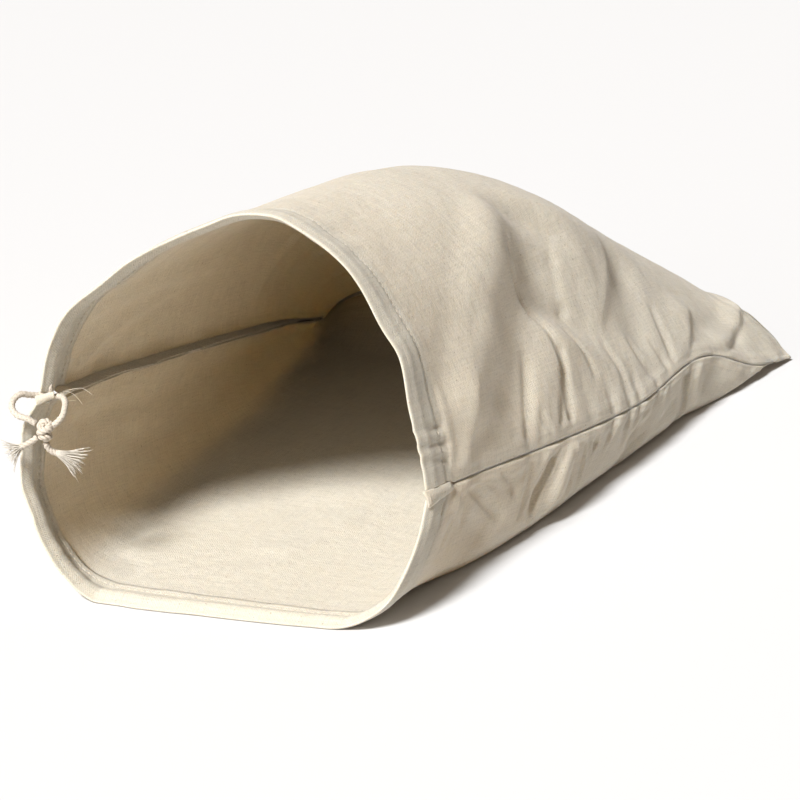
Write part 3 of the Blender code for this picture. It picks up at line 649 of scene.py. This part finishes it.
def sewn_relief(across, along):
    """Height of puckers and of the hem's stitched line."""
    side, far = seam_distances(across, along)
    seam = np.minimum(side, far)
    sewn = sewn_share(along)
    rolled = np.exp(-((seam - ROLLED_EDGE) / ROLLED_EDGE_WIDTH) ** 2)
    height = ROLLED_EDGE_HEIGHT * rolled * sewn
    reach, spacing, rise, fineness, seed = PUCKERS["seam"]
    away = np.exp(-(seam / reach) ** 2) * smooth_step(seam / PUCKER_START)
    height += rise * away * sewn * soft_noise(across * fineness, along, spacing, seed)
    reach, spacing, rise, fineness, seed = PUCKERS["hem"]
    line = np.abs(along - STITCH_PLACE)[:, None]
    height += rise * np.exp(-(line / reach) ** 2) * soft_noise(across, along * fineness, spacing, seed)
    height -= STITCH_TROUGH * np.exp(-(line / STITCH_TROUGH_WIDTH) ** 2)
    doubled = 1 - smooth_step((along - STITCH_PLACE + HEM_STEP_BEFORE) / HEM_STEP_WIDTH)
    height += HEM_STEP * doubled[:, None]
    over_cord = (along - CORD_PLACE)[:, None] / CORD_BULGE_WIDTH
    height += CORD_BULGE * np.exp(-over_cord ** 2)
    return height


def rim_wave(across, along):
    """How far each grid point moves along the bag, so that the mouth's edge isn't straight."""
    away = 1 - smooth_step(along / RIM_WAVE_REACH)
    wave = np.zeros((len(along), len(across)))
    for size, height, seed in RIM_WAVES:
        wave += height * soft_noise(across, np.zeros(1), size, seed)
    side = np.minimum(across, BAG_WIDTH - across)
    return wave * away[:, None] * smooth_step(side / RIM_WAVE_CORNER)[None, :]


def folded_panel(panel, across, along):
    """The middle layer of a panel's cloth with its folds."""
    across = np.asarray(across, float)
    along = np.asarray(along, float)
    points = parted_panel(panel, across, along)
    normals = outward(panel, parted_panel, across, along)
    depth = fold_depth(panel, across, along) - sewn_relief(across, along)
    further = parted_panel(panel, across, np.minimum(along + SMALL_STEP, BAG_LENGTH - SMALL_STEP))
    nearer = parted_panel(panel, across, np.minimum(along, BAG_LENGTH - 2 * SMALL_STEP))
    points = points - normals * depth[:, :, None]
    points = points + unit(further - nearer) * rim_wave(across, along)[:, :, None]
    points = points - seam_groove(across, along)
    points[:, :, 2] = np.maximum(points[:, :, 2], REST)
    return points


def grid_lines():
    """The cloth distances of the fine grid's columns and rows."""
    edge = np.array(EDGE_GRID)
    first = edge[-1] + GRID
    inner = np.linspace(first, BAG_WIDTH - first, round((BAG_WIDTH - 2 * first) / GRID) + 1)
    across = np.concatenate([edge, inner, BAG_WIDTH - edge[::-1]])
    mouth = np.arange(GRID, SLIT + GRID, MOUTH_GRID)
    start = mouth[-1] + GRID
    body = np.linspace(start, BAG_LENGTH - first, round((BAG_LENGTH - first - start) / GRID) + 1)
    along = np.concatenate([mouth, body, BAG_LENGTH - edge[::-1]])
    return across, along


def placed(points):
    """Points in metres in the model's frame."""
    return (np.asarray(points, float) - (*FOOTPRINT_MIDDLE, 0)) * METRES


def add_mesh(name, vertices, faces, material, slot):
    """A smooth piece of the bag that rides on its one body."""
    mesh = bpy.data.meshes.new(name)
    mesh.from_pydata(placed(vertices).tolist(), [], faces)
    mesh.materials.append(material)
    mesh.shade_smooth()
    built = bpy.data.objects.new(name, mesh)
    bpy.context.collection.objects.link(built)
    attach(built, "root")
    return built


def grid_faces(rows, columns, first=0, flip=False):
    """The four-sided faces between the rows and columns of a grid of vertices."""
    faces = []
    for row in range(rows - 1):
        for column in range(columns - 1):
            corner = first + row * columns + column
            face = (corner, corner + 1, corner + columns + 1, corner + columns)
            faces.append(face[::-1] if flip else face)
    return faces


def hem_rows(panel, across):
    """The hem's inner layer and its fold, from the raw edge to the outer layer."""
    places = np.array([place for place, _ in HEM_PROFILE])
    depths = np.array([depth for _, depth in HEM_PROFILE])
    order = np.argsort(places)
    surface = folded_panel(panel, across, places[order])
    normals = outward(panel, folded_panel, across, places[order])
    back = np.argsort(order)
    size, height, seed = HEM_FLUTTER
    flutter = (1 + soft_noise(across, np.zeros(1), size, seed)[0]) / 2 * height
    lifted = depths[:, None] + (places > RAW_EDGE)[:, None] * flutter[None, :]
    return surface[back] - normals[back] * lifted[:, :, None]


def allowance_strip(panel, seam, places):
    """A strip of cloth turned inside along a side seam: seam 0 is the left one, 1 the right one."""
    side = FACING[panel]
    at = np.array([0.0, BAG_WIDTH])
    edge = drawn_panel("upper_panel", at, places)[:, seam]
    tangent = unit(np.gradient(edge, axis=0))
    quarter = np.array([BAG_WIDTH / 4, BAG_WIDTH * 3 / 4])
    middle = between_panels(quarter, places)[:, seam]
    apart = unit(square_to(across_bag(at, places)[:, seam], tangent))
    inward = unit(square_to(square_to(middle - edge, tangent), apart))
    narrowing = smooth_step((ALLOWANCE_END - places) / ALLOWANCE_CLIP)
    size, height, seed = ALLOWANCE_WAVE
    wave = soft_noise(np.array([ALLOWANCE_WAVE_PLACES[seam]]), places, size, seed + side)[:, 0] * height
    parted = stand_off(at, places)[:, seam]
    rows = []
    for share in ALLOWANCE_ROWS:
        reach = ALLOWANCE_INSET + (ALLOWANCE - ALLOWANCE_INSET) * share * narrowing
        lift = side * (parted * (1 - share) + ALLOWANCE_GAP + share * ALLOWANCE_LIFT) + wave * share
        rows.append(edge + inward * reach[:, None] + apart * lift[:, None])
    return np.stack(rows, axis=1)


def far_allowance(panel, across):
    """A strip of cloth turned inside along the far seam."""
    side = FACING[panel]
    places = np.array([BAG_LENGTH - 2 * ALLOWANCE, BAG_LENGTH])
    edge = drawn_panel("upper_panel", across, places)[1]
    inward = unit(between_panels(across, places)[0] - edge)
    apart = across_bag(across, places)[1]
    inside = np.minimum(across - FAR_CLIPS[0], BAG_WIDTH - FAR_CLIPS[1] - across)
    taper = FAR_CLIPPED + (1 - FAR_CLIPPED) * smooth_step(inside / FAR_CLIP_FADE)
    rows = []
    for share in FAR_ROWS:
        reach = ALLOWANCE * share * taper
        rows.append(edge + inward * reach[:, None] + apart * side * (FAR_GAP + FAR_LIFT * share))
    return np.stack(rows, axis=0)


def add_coordinates(mesh, name, coordinates):
    """Texture coordinates, one pair for each vertex."""
    layer = mesh.uv_layers.new(name=name)
    loops = np.empty(len(mesh.loops), dtype=np.int32)
    mesh.loops.foreach_get("vertex_index", loops)
    layer.data.foreach_set("uv", np.asarray(coordinates)[loops].astype(np.float32).ravel())


def finish_cloth(built, distances):
    """Give a sheet its places on the cloth, for the weave, and the cloth's thickness."""
    add_coordinates(built.data, "cloth", distances / BAG_LENGTH)
    thickness = built.modifiers.new("cloth", "SOLIDIFY")
    thickness.thickness = CLOTH * METRES
    thickness.offset = 0


def add_panel(panel, name, material, slot):
    """One panel: its outer layer, its hem and its seam allowances."""
    flip = panel == "lower_panel"
    across, along = grid_lines()
    body = folded_panel(panel, across, along)
    hem = hem_rows(panel, across)
    rows = np.concatenate([hem, body])
    hem_distances = []
    for step, (place, _) in enumerate(HEM_PROFILE):
        hem_distances.append(-place if step < len(HEM_PROFILE) - 2 else place)
    distances = np.concatenate([hem_distances, along])
    patches = [(rows, np.stack(np.meshgrid(across, distances), -1))]
    near_step, far_step = ALLOWANCE_STEPS
    near_places = np.arange(ALLOWANCE_START, SLIT, near_step)
    places = np.concatenate([near_places, np.arange(SLIT, ALLOWANCE_END, far_step)])
    for seam in (0, 1):
        strip = allowance_strip(panel, seam, places)
        beyond = WEAVE_GAP + np.linspace(0, ALLOWANCE, strip.shape[1])
        columns = -beyond if seam == 0 else BAG_WIDTH + beyond
        patches.append((strip, np.stack(np.meshgrid(columns, places), -1)))
    far = far_allowance(panel, across)
    beyond = BAG_LENGTH + WEAVE_GAP + np.linspace(0, ALLOWANCE, far.shape[0])
    patches.append((far, np.stack(np.meshgrid(across, beyond), -1)))
    vertices = []
    coordinates = []
    faces = []
    for points, distance in patches:
        faces += grid_faces(points.shape[0], points.shape[1], len(vertices), flip)
        vertices += points.reshape(-1, 3).tolist()
        coordinates += distance.reshape(-1, 2).tolist()
    built = add_mesh(name, vertices, faces, material, slot)
    finish_cloth(built, np.array(coordinates))
    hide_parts(panel)
    return built


def add_flap(side, material, slot):
    """The turned-in end of a hem at a slit: a small bent flap of cloth."""
    near_top, far_top, far_bottom, near_bottom = np.array(FLAPS[side], float)
    columns, rows = FLAP_GRID
    far = np.linspace(0, 1, columns)[None, :, None]
    down = np.linspace(0, 1, rows)[:, None, None]
    points = (near_top * (1 - far) + far_top * far) * (1 - down)
    points = points + (near_bottom * (1 - far) + far_bottom * far) * down
    facing = unit(np.cross(near_bottom - near_top, far_top - near_top))
    bulge = np.sin(math.pi * down) + FLAP_RIPPLE * np.sin(FLAP_RIPPLE_TURN * far) * down
    points = points + facing * FLAP_BULGE * bulge
    built = add_mesh(f"{side}_slit_flap", points.reshape(-1, 3), grid_faces(rows, columns), material, slot)
    distances = np.stack(np.meshgrid(far.ravel() * FLAP_SIZE[0], down.ravel() * FLAP_SIZE[1]), -1)
    finish_cloth(built, distances.reshape(-1, 2))
    return built


def tube(path, radius, sides, lobes=0, lobe_depth=0.0, pitch=1.0, taper=None):
    """Vertices and faces of a round tube along a path, with a twist of lobes if it has any."""
    path = np.asarray(path, float)
    tangents = unit(np.gradient(path, axis=0))
    normal = unit(np.cross(tangents[0], TUBE_ASIDE))
    lengths = run_lengths(path)
    angles = np.linspace(0, 2 * math.pi, sides, endpoint=False)
    vertices = []
    for step, (point, tangent) in enumerate(zip(path, tangents)):
        normal = unit(normal - tangent * (normal @ tangent))
        beside = np.cross(tangent, normal)
        size = radius * (1 if taper is None else taper[step])
        turn = 2 * math.pi * lengths[step] / pitch
        reach = size * (1 - lobe_depth + lobe_depth * np.abs(np.cos(lobes * (angles - turn) / 2)))
        ring = normal * np.cos(angles)[:, None] + beside * np.sin(angles)[:, None]
        vertices += (point + ring * reach[:, None]).tolist()
    faces = []
    for step in range(len(path) - 1):
        for side in range(sides):
            first = step * sides + side
            second = step * sides + (side + 1) % sides
            faces.append((first, second, second + sides, first + sides))
    faces.append(tuple(range(sides))[::-1])
    faces.append(tuple(range((len(path) - 1) * sides, len(path) * sides)))
    return vertices, faces


def twist_crests(path):
    """For each vertex of a twisted cord: how near it is to a strand's crest, and its distance along; the
    cord's material paints shade in the grooves by it.
    """
    lengths = run_lengths(np.asarray(path, float))
    angles = np.linspace(0, 2 * math.pi, CORD_SIDES, endpoint=False)
    turns = 2 * math.pi * lengths / TWIST_PITCH
    crests = np.abs(np.cos(TWIST_STRANDS * (angles[None, :] - turns[:, None]) / 2))
    return np.stack([crests, np.broadcast_to(lengths[:, None], crests.shape)], -1).reshape(-1, 2)


def add_cord_piece(name, paths, material):
    """Twisted cord along one or more paths."""
    parts = [tube(path, CORD / 2, CORD_SIDES, TWIST_STRANDS, TWIST_DEPTH, TWIST_PITCH) for path in paths]
    built = add_mesh(name, *joined(parts), material, "cord")
    add_coordinates(built.data, "twist", np.concatenate([twist_crests(path) for path in paths]))
    return built


def joined(parts):
    """Several sets of vertices and faces as one."""
    vertices = []
    faces = []
    for points, cells in parts:
        start = len(vertices)
        vertices += list(points)
        faces += [tuple(index + start for index in cell) for cell in cells]
    return vertices, faces


def channel_points(panel, across):
    """The cord's middle line in a hem, at cloth distances across."""
    near_slit = 1 - smooth_step(across / SLIT_REACH)
    places = CORD_PLACE + (SLIT_PLACES[panel] - CORD_PLACE) * near_slit
    rows = np.array(sorted({CORD_PLACE, SLIT_PLACES[panel]}))
    surface = folded_panel(panel, across, rows)
    surface = surface - outward(panel, folded_panel, across, rows) * CORD_DEPTH
    share = ((places - rows[0]) / (rows[1] - rows[0]))[:, None]
    return surface[0] * (1 - share) + surface[1] * share


def drawstring_route():
    """The cord's middle line: knot, upper hem, right slit, lower hem, knot."""
    across = np.linspace(*CHANNEL_RUN, CHANNEL_STEPS)
    upper = channel_points("upper_panel", across)
    lower = channel_points("lower_panel", across)[::-1]
    return np.concatenate([UPPER_STRAND, upper, lower, LOWER_STRAND])


def add_drawstring(material):
    """The twisted cord, from the knot round through both hems and back."""
    route = evenly_spaced(drawstring_route(), CORD_STEP)
    built = add_cord_piece("twisted_drawstring", [route], material)
    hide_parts("drawstring")
    return built, route


def add_knot(material):
    """The knot: twisted turns of cord round each other."""
    turns = []
    angles = np.linspace(0, 2 * math.pi, TURN_POINTS)[:, None]
    for height, half_width, half_length, facing, rise in KNOT_TURNS:
        facing = math.radians(facing)
        rise = math.radians(rise)
        sideways = np.array([math.cos(facing), math.sin(facing), 0])
        level = np.array([-math.sin(facing), math.cos(facing), 0])
        upward = level * math.cos(rise) + np.array([0, 0, math.sin(rise)])
        turn = sideways * half_width * np.cos(angles) + upward * half_length * np.sin(angles)
        turns.append(turn + (0, 0, height) + KNOT_MIDDLE)
    built = add_cord_piece("tied_knot", turns, material)
    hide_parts("knot")
    return built


def add_end(side, end, material):
    """One free end of the cord below the knot."""
    built = add_cord_piece(f"{side}_twisted_end", [evenly_spaced(end, END_STEP)], material)
    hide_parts(f"{side}_end")
    return built


def add_tuft(side, end, material):
    """The frayed end of the cord, in loose wavy yarns."""
    length, fan_across, fan_along, droop, count, seed = TUFTS[side]
    source = np.random.RandomState(seed)
    end = np.asarray(end, float)
    axis = unit(end[-1] - end[-2])
    across = unit(np.cross(axis, (0.0, 1.0, 0.0)))
    along = np.cross(axis, across)
    steps = np.linspace(0, 1, STRAND_POINTS)[:, None]
    parts = []
    for strand in range(count):
        turn = strand * GOLDEN_TURN
        out = math.sqrt((strand + 0.5) / count)
        x = out * math.cos(turn)
        y = out * math.sin(turn)
        root = end[-1] - axis * STRAND_INSIDE + (across * x + along * y) * CORD / 2 * STRAND_ROOTS
        lean = across * math.tan(math.radians(fan_across)) * x + along * math.tan(math.radians(fan_along)) * y
        reach = length * source.uniform(*STRAND_LENGTHS)
        path = root + axis * reach * steps + lean * reach * steps ** STRAND_EASE
        starts = source.uniform(0, 2 * math.pi, 2)
        swing = WAVE_ACROSS * steps * np.sin(steps * source.uniform(*WAVE_TURNS) + starts[0])
        sway = WAVE_ALONG * steps * np.sin(steps * WAVE_ALONG_TURN + starts[1])
        path = path + across * swing + along * sway - np.array([0, 0, droop]) * steps ** 2
        taper = 1 - STRAND_THINNING * steps[:, 0]
        parts.append(tube(path, source.uniform(*STRAND_RADII), THIN_SIDES, taper=taper))
    built = add_mesh(f"{side}_frayed_tuft", *joined(parts), material, "frayed_cord")
    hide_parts(f"{side}_tuft")
    return built


def stitch_row(panel, depth, shift):
    """Small stitches along the hem, on the outer or the inner layer."""
    centres = np.arange(STITCH_MARGIN + shift, BAG_WIDTH - STITCH_MARGIN, STITCH_PITCH)
    count = len(STITCH_SHAPE)
    across = (centres[:, None] + np.linspace(-STITCH_HALF, STITCH_HALF, count)[None, :]).ravel()
    place = np.array([STITCH_PLACE])
    surface = folded_panel(panel, across, place)[0]
    normals = outward(panel, folded_panel, across, place)[0]
    standing = np.tile(STITCH_SHAPE, len(centres)) * math.copysign(1, depth)
    points = surface - normals * (depth - standing)[:, None]
    points[:, 2] = np.maximum(points[:, 2], THREAD)
    return [tube(points[start:start + count], THREAD, THREAD_SIDES) for start in range(0, len(points), count)]


def add_stitches(panel, material, slot):
    """The hem's line of stitches on both faces of a panel."""
    parts = []
    for depth, shift in STITCH_ROWS:
        parts += stitch_row(panel, depth, shift)
    return add_mesh(f"{panel.split('_')[0]}_hem_stitches", *joined(parts), material, slot)


def add_overlock(material):
    """Threads over the raw edges of the side seams' allowances."""
    parts = []
    places = np.arange(SLIT, OVERLOCK_END, OVERLOCK_STEP)
    for seam in (0, 1):
        upper = allowance_strip("upper_panel", seam, places)
        lower = allowance_strip("lower_panel", seam, places)
        route = []
        for step in range(len(places)):
            row = (upper, lower)[step % 2][step]
            outer = row[4] + (row[4] - row[3]) * OVERLOCK_PAST
            inner = row[2] * OVERLOCK_BITE + row[1] * (1 - OVERLOCK_BITE)
            lift = unit(upper[step][2] - lower[step][2]) * OVERLOCK_LIFT * (1, -1)[step % 2]
            route += [inner + lift, outer + lift * OVERLOCK_DRAW]
        parts.append(tube(route, OVERLOCK_THREAD, THIN_SIDES))
    return add_mesh("seam_overlock", *joined(parts), material, "upper_cotton")


def add_wisps(material):
    """A few loose threads at the slits."""
    parts = []
    for radius, *route in WISPS:
        points = evenly_spaced(route, WISP_STEP)
        parts.append(tube(points, radius, WISP_SIDES, taper=np.linspace(1, 0.5, len(points))))
    return add_mesh("loose_threads", *joined(parts), material, "cord")


# Colours of the materials, and what the cloth and the cord set on their shaders
TONES = {
    "upper": (0.70, 0.645, 0.555),
    # The lower panel is the same cotton as the upper, its tone a touch darker: painted shade for the
    # underside that faces the floor.
    "lower": (0.69, 0.635, 0.545),
    "cord": (0.68, 0.61, 0.52),
    "tuft": (0.76, 0.71, 0.63),
    "thread": (0.72, 0.65, 0.54),
    "floor": (0.73, 0.73, 0.735),
}
CLOTH_FINISH = {
    "Roughness": 0.88, "Sheen Weight": 0.12, "Sheen Roughness": 0.5, "Specular IOR Level": 0.2,
    "Subsurface Weight": 0.5, "Subsurface Radius": (1.0, 0.78, 0.55), "Subsurface Scale": 0.0018,
}
CORD_FINISH = {"Roughness": 0.9, "Sheen Weight": 0.3, "Sheen Roughness": 0.4, "Specular IOR Level": 0.25}
WEAVE_PITCH = 0.6


class Nodes:
    """Short ways to build a material's nodes."""

    def __init__(self, name, colour, finish):
        self.material = bpy.data.materials.new(name)
        self.material.use_nodes = True
        self.tree = self.material.node_tree
        self.shader = self.tree.nodes["Principled BSDF"]
        self.shader.inputs["Base Color"].default_value = (*colour, 1)
        for socket, value in finish.items():
            self.shader.inputs[socket].default_value = value

    def add(self, kind, **settings):
        """A node, with settings and input values by name."""
        node = self.tree.nodes.new(kind)
        for key, value in settings.items():
            if hasattr(node, key):
                setattr(node, key, value)
            else:
                node.inputs[key.replace("_", " ")].default_value = value
        return node

    def link(self, source, target):
        """Join an output to an input."""
        self.tree.links.new(source, target)

    def math(self, operation, first, second=None):
        """A maths node on outputs or plain numbers."""
        node = self.tree.nodes.new("ShaderNodeMath")
        node.operation = operation
        for place, value in enumerate((first, second)):
            if value is None:
                continue
            if isinstance(value, (int, float)):
                node.inputs[place].default_value = value
            else:
                self.link(value, node.inputs[place])
        return node.outputs[0]

    def noise(self, vector, scale, detail=2.0, roughness=0.5):
        """A noise value between 0 and 1."""
        node = self.add("ShaderNodeTexNoise", Scale=scale, Detail=detail, Roughness=roughness)
        self.link(vector, node.inputs["Vector"])
        return node.outputs["Fac"]

    def stretched(self, vector, scale):
        """Coordinates scaled by three numbers."""
        node = self.add("ShaderNodeVectorMath", operation="MULTIPLY")
        self.link(vector, node.inputs[0])
        node.inputs[1].default_value = scale
        return node.outputs[0]

    def ramp(self, value, stops):
        """A colour ramp from (place, colour) stops."""
        node = self.add("ShaderNodeValToRGB")
        ramp = node.color_ramp
        while len(ramp.elements) < len(stops):
            ramp.elements.new(0.5)
        for element, (place, colour) in zip(ramp.elements, stops):
            element.position = place
            element.color = (*colour, 1)
        self.link(value, node.inputs["Fac"])
        return node.outputs["Color"]

    def mix(self, factor, first, second, blend="MIX"):
        """Two colours mixed by a value or a number."""
        node = self.add("ShaderNodeMix", data_type="RGBA", blend_type=blend)
        for place, value in ((0, factor), (6, first), (7, second)):
            if isinstance(value, (int, float)):
                node.inputs[place].default_value = value
            elif isinstance(value, tuple):
                node.inputs[place].default_value = (*value, 1)
            else:
                self.link(value, node.inputs[place])
        return node.outputs[2]

    def bump(self, height, strength, distance, under=None):
        """A bump on the shader's normal, on top of another if there is one."""
        node = self.add("ShaderNodeBump", Strength=strength, Distance=distance)
        self.link(height, node.inputs["Height"])
        if under is not None:
            self.link(under, node.inputs["Normal"])
        return node.outputs["Normal"]


def woven_cotton(name, tone):
    """Plain-woven unbleached cotton: threads, slubs, seed flecks, soft stains and painted shade between the
    threads, and light through it.
    """
    nodes = Nodes(name, tone, CLOTH_FINISH)
    shader = nodes.shader
    source = nodes.add("ShaderNodeUVMap", uv_map="cloth").outputs["UV"]
    cloth = nodes.stretched(source, (BAG_LENGTH, BAG_LENGTH, 1.0))
    drift = nodes.noise(cloth, 0.35, 2.0)
    split = nodes.add("ShaderNodeSeparateXYZ")
    nodes.link(cloth, split.inputs[0])
    thread = math.pi / WEAVE_PITCH
    warp = nodes.math("SINE", nodes.math("MULTIPLY", nodes.math("ADD", split.outputs[0], drift), thread))
    weft = nodes.math("SINE", nodes.math("MULTIPLY", nodes.math("ADD", split.outputs[1], drift), thread))
    weave = nodes.math("MULTIPLY", warp, weft)
    slub_across = nodes.noise(nodes.stretched(cloth, (0.07, 1.3, 1.0)), 1.0, 2.0)
    slub_along = nodes.noise(nodes.stretched(cloth, (1.3, 0.07, 1.0)), 1.0, 2.0)
    grain = nodes.noise(cloth, 1.1, 2.0)
    slubs = nodes.math("ADD", nodes.math("ADD", slub_across, slub_along), grain)
    slubs = nodes.math("MULTIPLY", slubs, 0.334)
    creases = nodes.noise(cloth, 0.16, 4.0, 0.6)
    base = nodes.ramp(slubs, (
        (0.34, tuple(part * 0.80 for part in tone)),
        (0.50, tone),
        (0.66, tuple(min(part * 1.13, 1) for part in tone)),
    ))
    patches = nodes.noise(cloth, 0.018, 3.0)
    warm = tuple(part * shade for part, shade in zip(tone, (0.96, 0.92, 0.85)))
    base = nodes.mix(nodes.math("MULTIPLY", patches, 0.5), base, warm)
    fleck = nodes.noise(cloth, 0.85, 1.0)
    fleck_here = nodes.math("MULTIPLY", nodes.math("GREATER_THAN", fleck, 0.72), 0.5)
    base = nodes.mix(fleck_here, base, (0.27, 0.19, 0.11))
    # Painted shade: the cloth is darkened a little in the low places of the weave, between the threads.
    weave_shade = nodes.math("MULTIPLY", nodes.math("SUBTRACT", 1.0, weave), 0.05)
    base = nodes.mix(weave_shade, base, (0.25, 0.2, 0.15))
    nodes.link(base, shader.inputs["Base Color"])
    fine = nodes.bump(weave, 0.35, 0.00014)
    thready = nodes.bump(slubs, 0.3, 0.0009, fine)
    nodes.link(nodes.bump(creases, 0.22, 0.0022, thready), shader.inputs["Normal"])
    return nodes.material


def cord_cotton(name, tone, grain, twisted=False):
    """Soft off-white cotton yarn with fine fibres, with painted shade between its strands where it is
    twisted.
    """
    nodes = Nodes(name, tone, CORD_FINISH)
    shader = nodes.shader
    place = nodes.add("ShaderNodeTexCoord").outputs["Object"]
    fibres = nodes.noise(place, grain, 4.0, 0.65)
    lumps = nodes.noise(place, grain * 0.22, 2.0)
    colour = nodes.ramp(fibres, (
        (0.30, tuple(part * 0.80 for part in tone)),
        (0.55, tone),
        (0.85, tuple(min(part * 1.08, 1) for part in tone)),
    ))
    colour = nodes.mix(nodes.math("MULTIPLY", lumps, 0.30), colour, tuple(part * 0.86 for part in tone))
    if twisted:
        split = nodes.add("ShaderNodeSeparateXYZ")
        nodes.link(nodes.add("ShaderNodeUVMap", uv_map="twist").outputs["UV"], split.inputs[0])
        # Painted shade: the yarn's colour is multiplied darker in the grooves between the twisted strands,
        # where shade falls.
        painted_strand_shade = nodes.ramp(split.outputs[0], ((0.0, (0.42, 0.36, 0.28)), (0.45, (1.0, 1.0, 1.0))))
        colour = nodes.mix(1.0, colour, painted_strand_shade, "MULTIPLY")
    nodes.link(colour, shader.inputs["Base Color"])
    nodes.link(nodes.bump(fibres, 0.5, 0.0003), shader.inputs["Normal"])
    return nodes.material


FLOOR_HALF = 6.0


def floor_paper():
    """Matt pale paper."""
    nodes = Nodes("pale_floor", TONES["floor"], {"Roughness": 0.95})
    place = nodes.add("ShaderNodeTexCoord").outputs["Object"]
    grain = nodes.noise(place, 220.0, 2.0)
    nodes.link(nodes.bump(grain, 0.05, 0.0005), nodes.shader.inputs["Normal"])
    return nodes.material


def add_floor():
    """A plain pale floor that runs far past the view."""
    mesh = bpy.data.meshes.new("floor")
    corners = [(x * FLOOR_HALF, y * FLOOR_HALF, 0) for x, y in ((-1, -1), (1, -1), (1, 1), (-1, 1))]
    mesh.from_pydata(corners, [], [(0, 1, 2, 3)])
    mesh.materials.append(floor_paper())
    built = bpy.data.objects.new("floor", mesh)
    bpy.context.collection.objects.link(built)


# The camera: turn and height of the view in degrees, its focus in millimetres, and how far off it is
VIEW_TURN = 21.7
VIEW_HEIGHT = 20.0
VIEW_PIXELS = 2364.0
IMAGE_PIXELS = 800.0
SENSOR = 36.0
VIEW_TARGET = (50.9, 3.0, 0.0)
VIEW_SHIFT = (31.7, 97.3)
VIEW_DISTANCE = 1000.0
LIGHT_DISTANCE = 2.0
PICTURE_GAMMA = 0.88


def add_camera():
    """The camera at the photograph's angle."""
    turn = math.radians(VIEW_TURN)
    height = math.radians(VIEW_HEIGHT)
    right = np.array([math.cos(turn), math.sin(turn), 0])
    up = np.array([-math.sin(turn) * math.sin(height), math.cos(turn) * math.sin(height), math.cos(height)])
    back = np.array([math.sin(turn) * math.cos(height), -math.cos(turn) * math.cos(height), math.sin(height)])
    eye = np.array(VIEW_TARGET) + right * VIEW_SHIFT[0] + up * VIEW_SHIFT[1] + back * VIEW_DISTANCE
    camera = bpy.data.cameras.new("view")
    camera.sensor_width = SENSOR
    camera.lens = VIEW_PIXELS * SENSOR / IMAGE_PIXELS
    camera.clip_start = 0.05
    camera.clip_end = 30
    built = bpy.data.objects.new("view", camera)
    bpy.context.collection.objects.link(built)
    built.location = placed(eye)
    built.rotation_euler = (math.radians(90 - VIEW_HEIGHT), 0, turn)
    bpy.context.scene.camera = built


def add_light(name, kind, azimuth, elevation, size, power, colour):
    """A soft light that looks at the bag's middle: an area's size is in metres, a sun's in degrees."""
    light = bpy.data.lights.new(name, kind)
    if kind == "SUN":
        light.angle = math.radians(size)
    else:
        light.shape = "SQUARE"
        light.size = size
    light.energy = power
    light.color = colour
    built = bpy.data.objects.new(name, light)
    bpy.context.collection.objects.link(built)
    turn = math.radians(azimuth)
    height = math.radians(elevation)
    away = (math.sin(turn) * math.cos(height), -math.cos(turn) * math.cos(height), math.sin(height))
    built.location = tuple(part * LIGHT_DISTANCE for part in away)
    built.rotation_euler = (math.radians(90 - elevation), 0, turn)


def add_lights():
    """Soft studio light: a key from the front left, a low one into the mouth and warm surroundings."""
    add_light("key_light", "SUN", -14, 48, 14, 4.9, (0.98, 0.99, 1.0))
    add_light("front_light", "AREA", -14, 20, 0.9, 5, (1.0, 0.95, 0.88))
    world = bpy.data.worlds.new("studio")
    world.use_nodes = True
    surroundings = world.node_tree.nodes["Background"]
    surroundings.inputs["Color"].default_value = (1.0, 0.84, 0.67, 1)
    surroundings.inputs["Strength"].default_value = 0.2
    bpy.context.scene.world = world
    bpy.context.scene.view_settings.view_transform = "Standard"
    bpy.context.scene.view_settings.gamma = PICTURE_GAMMA


def build():
    """Camera, cord, cloth, sewing, floor and light."""
    add_camera()
    cord_look = cord_cotton("cord_yarn", TONES["cord"], 900.0, twisted=True)
    tuft_look = cord_cotton("frayed_yarn", TONES["tuft"], 1400.0)
    thread_look = cord_cotton("sewing_thread", TONES["thread"], 1200.0)
    cord, route = add_drawstring(cord_look)
    on_cord = [add_knot(cord_look)]
    for side, end in (("left", LEFT_END), ("right", RIGHT_END)):
        on_cord.append(add_end(side, end, cord_look))
        on_cord.append(add_tuft(side, end, tuft_look))
    upper_look = woven_cotton("upper_woven_cotton", TONES["upper"])
    lower_shaded_look = woven_cotton("lower_shaded_cotton", TONES["lower"])
    upper = add_panel("upper_panel", "upper_cloth", upper_look, "upper_cotton")
    lower = add_panel("lower_panel", "lower_cloth", lower_shaded_look, "lower_cotton")
    sewing = {
        "upper_panel": add_stitches("upper_panel", thread_look, "upper_cotton"),
        "lower_panel": add_stitches("lower_panel", thread_look, "lower_cotton"),
        "overlock": add_overlock(thread_look),
        "left_flap": add_flap("left", lower_shaded_look, "lower_cotton"),
        "right_flap": add_flap("right", upper_look, "upper_cotton"),
    }
    on_cord.append(add_wisps(thread_look))
    add_floor()
    add_lights()


build()
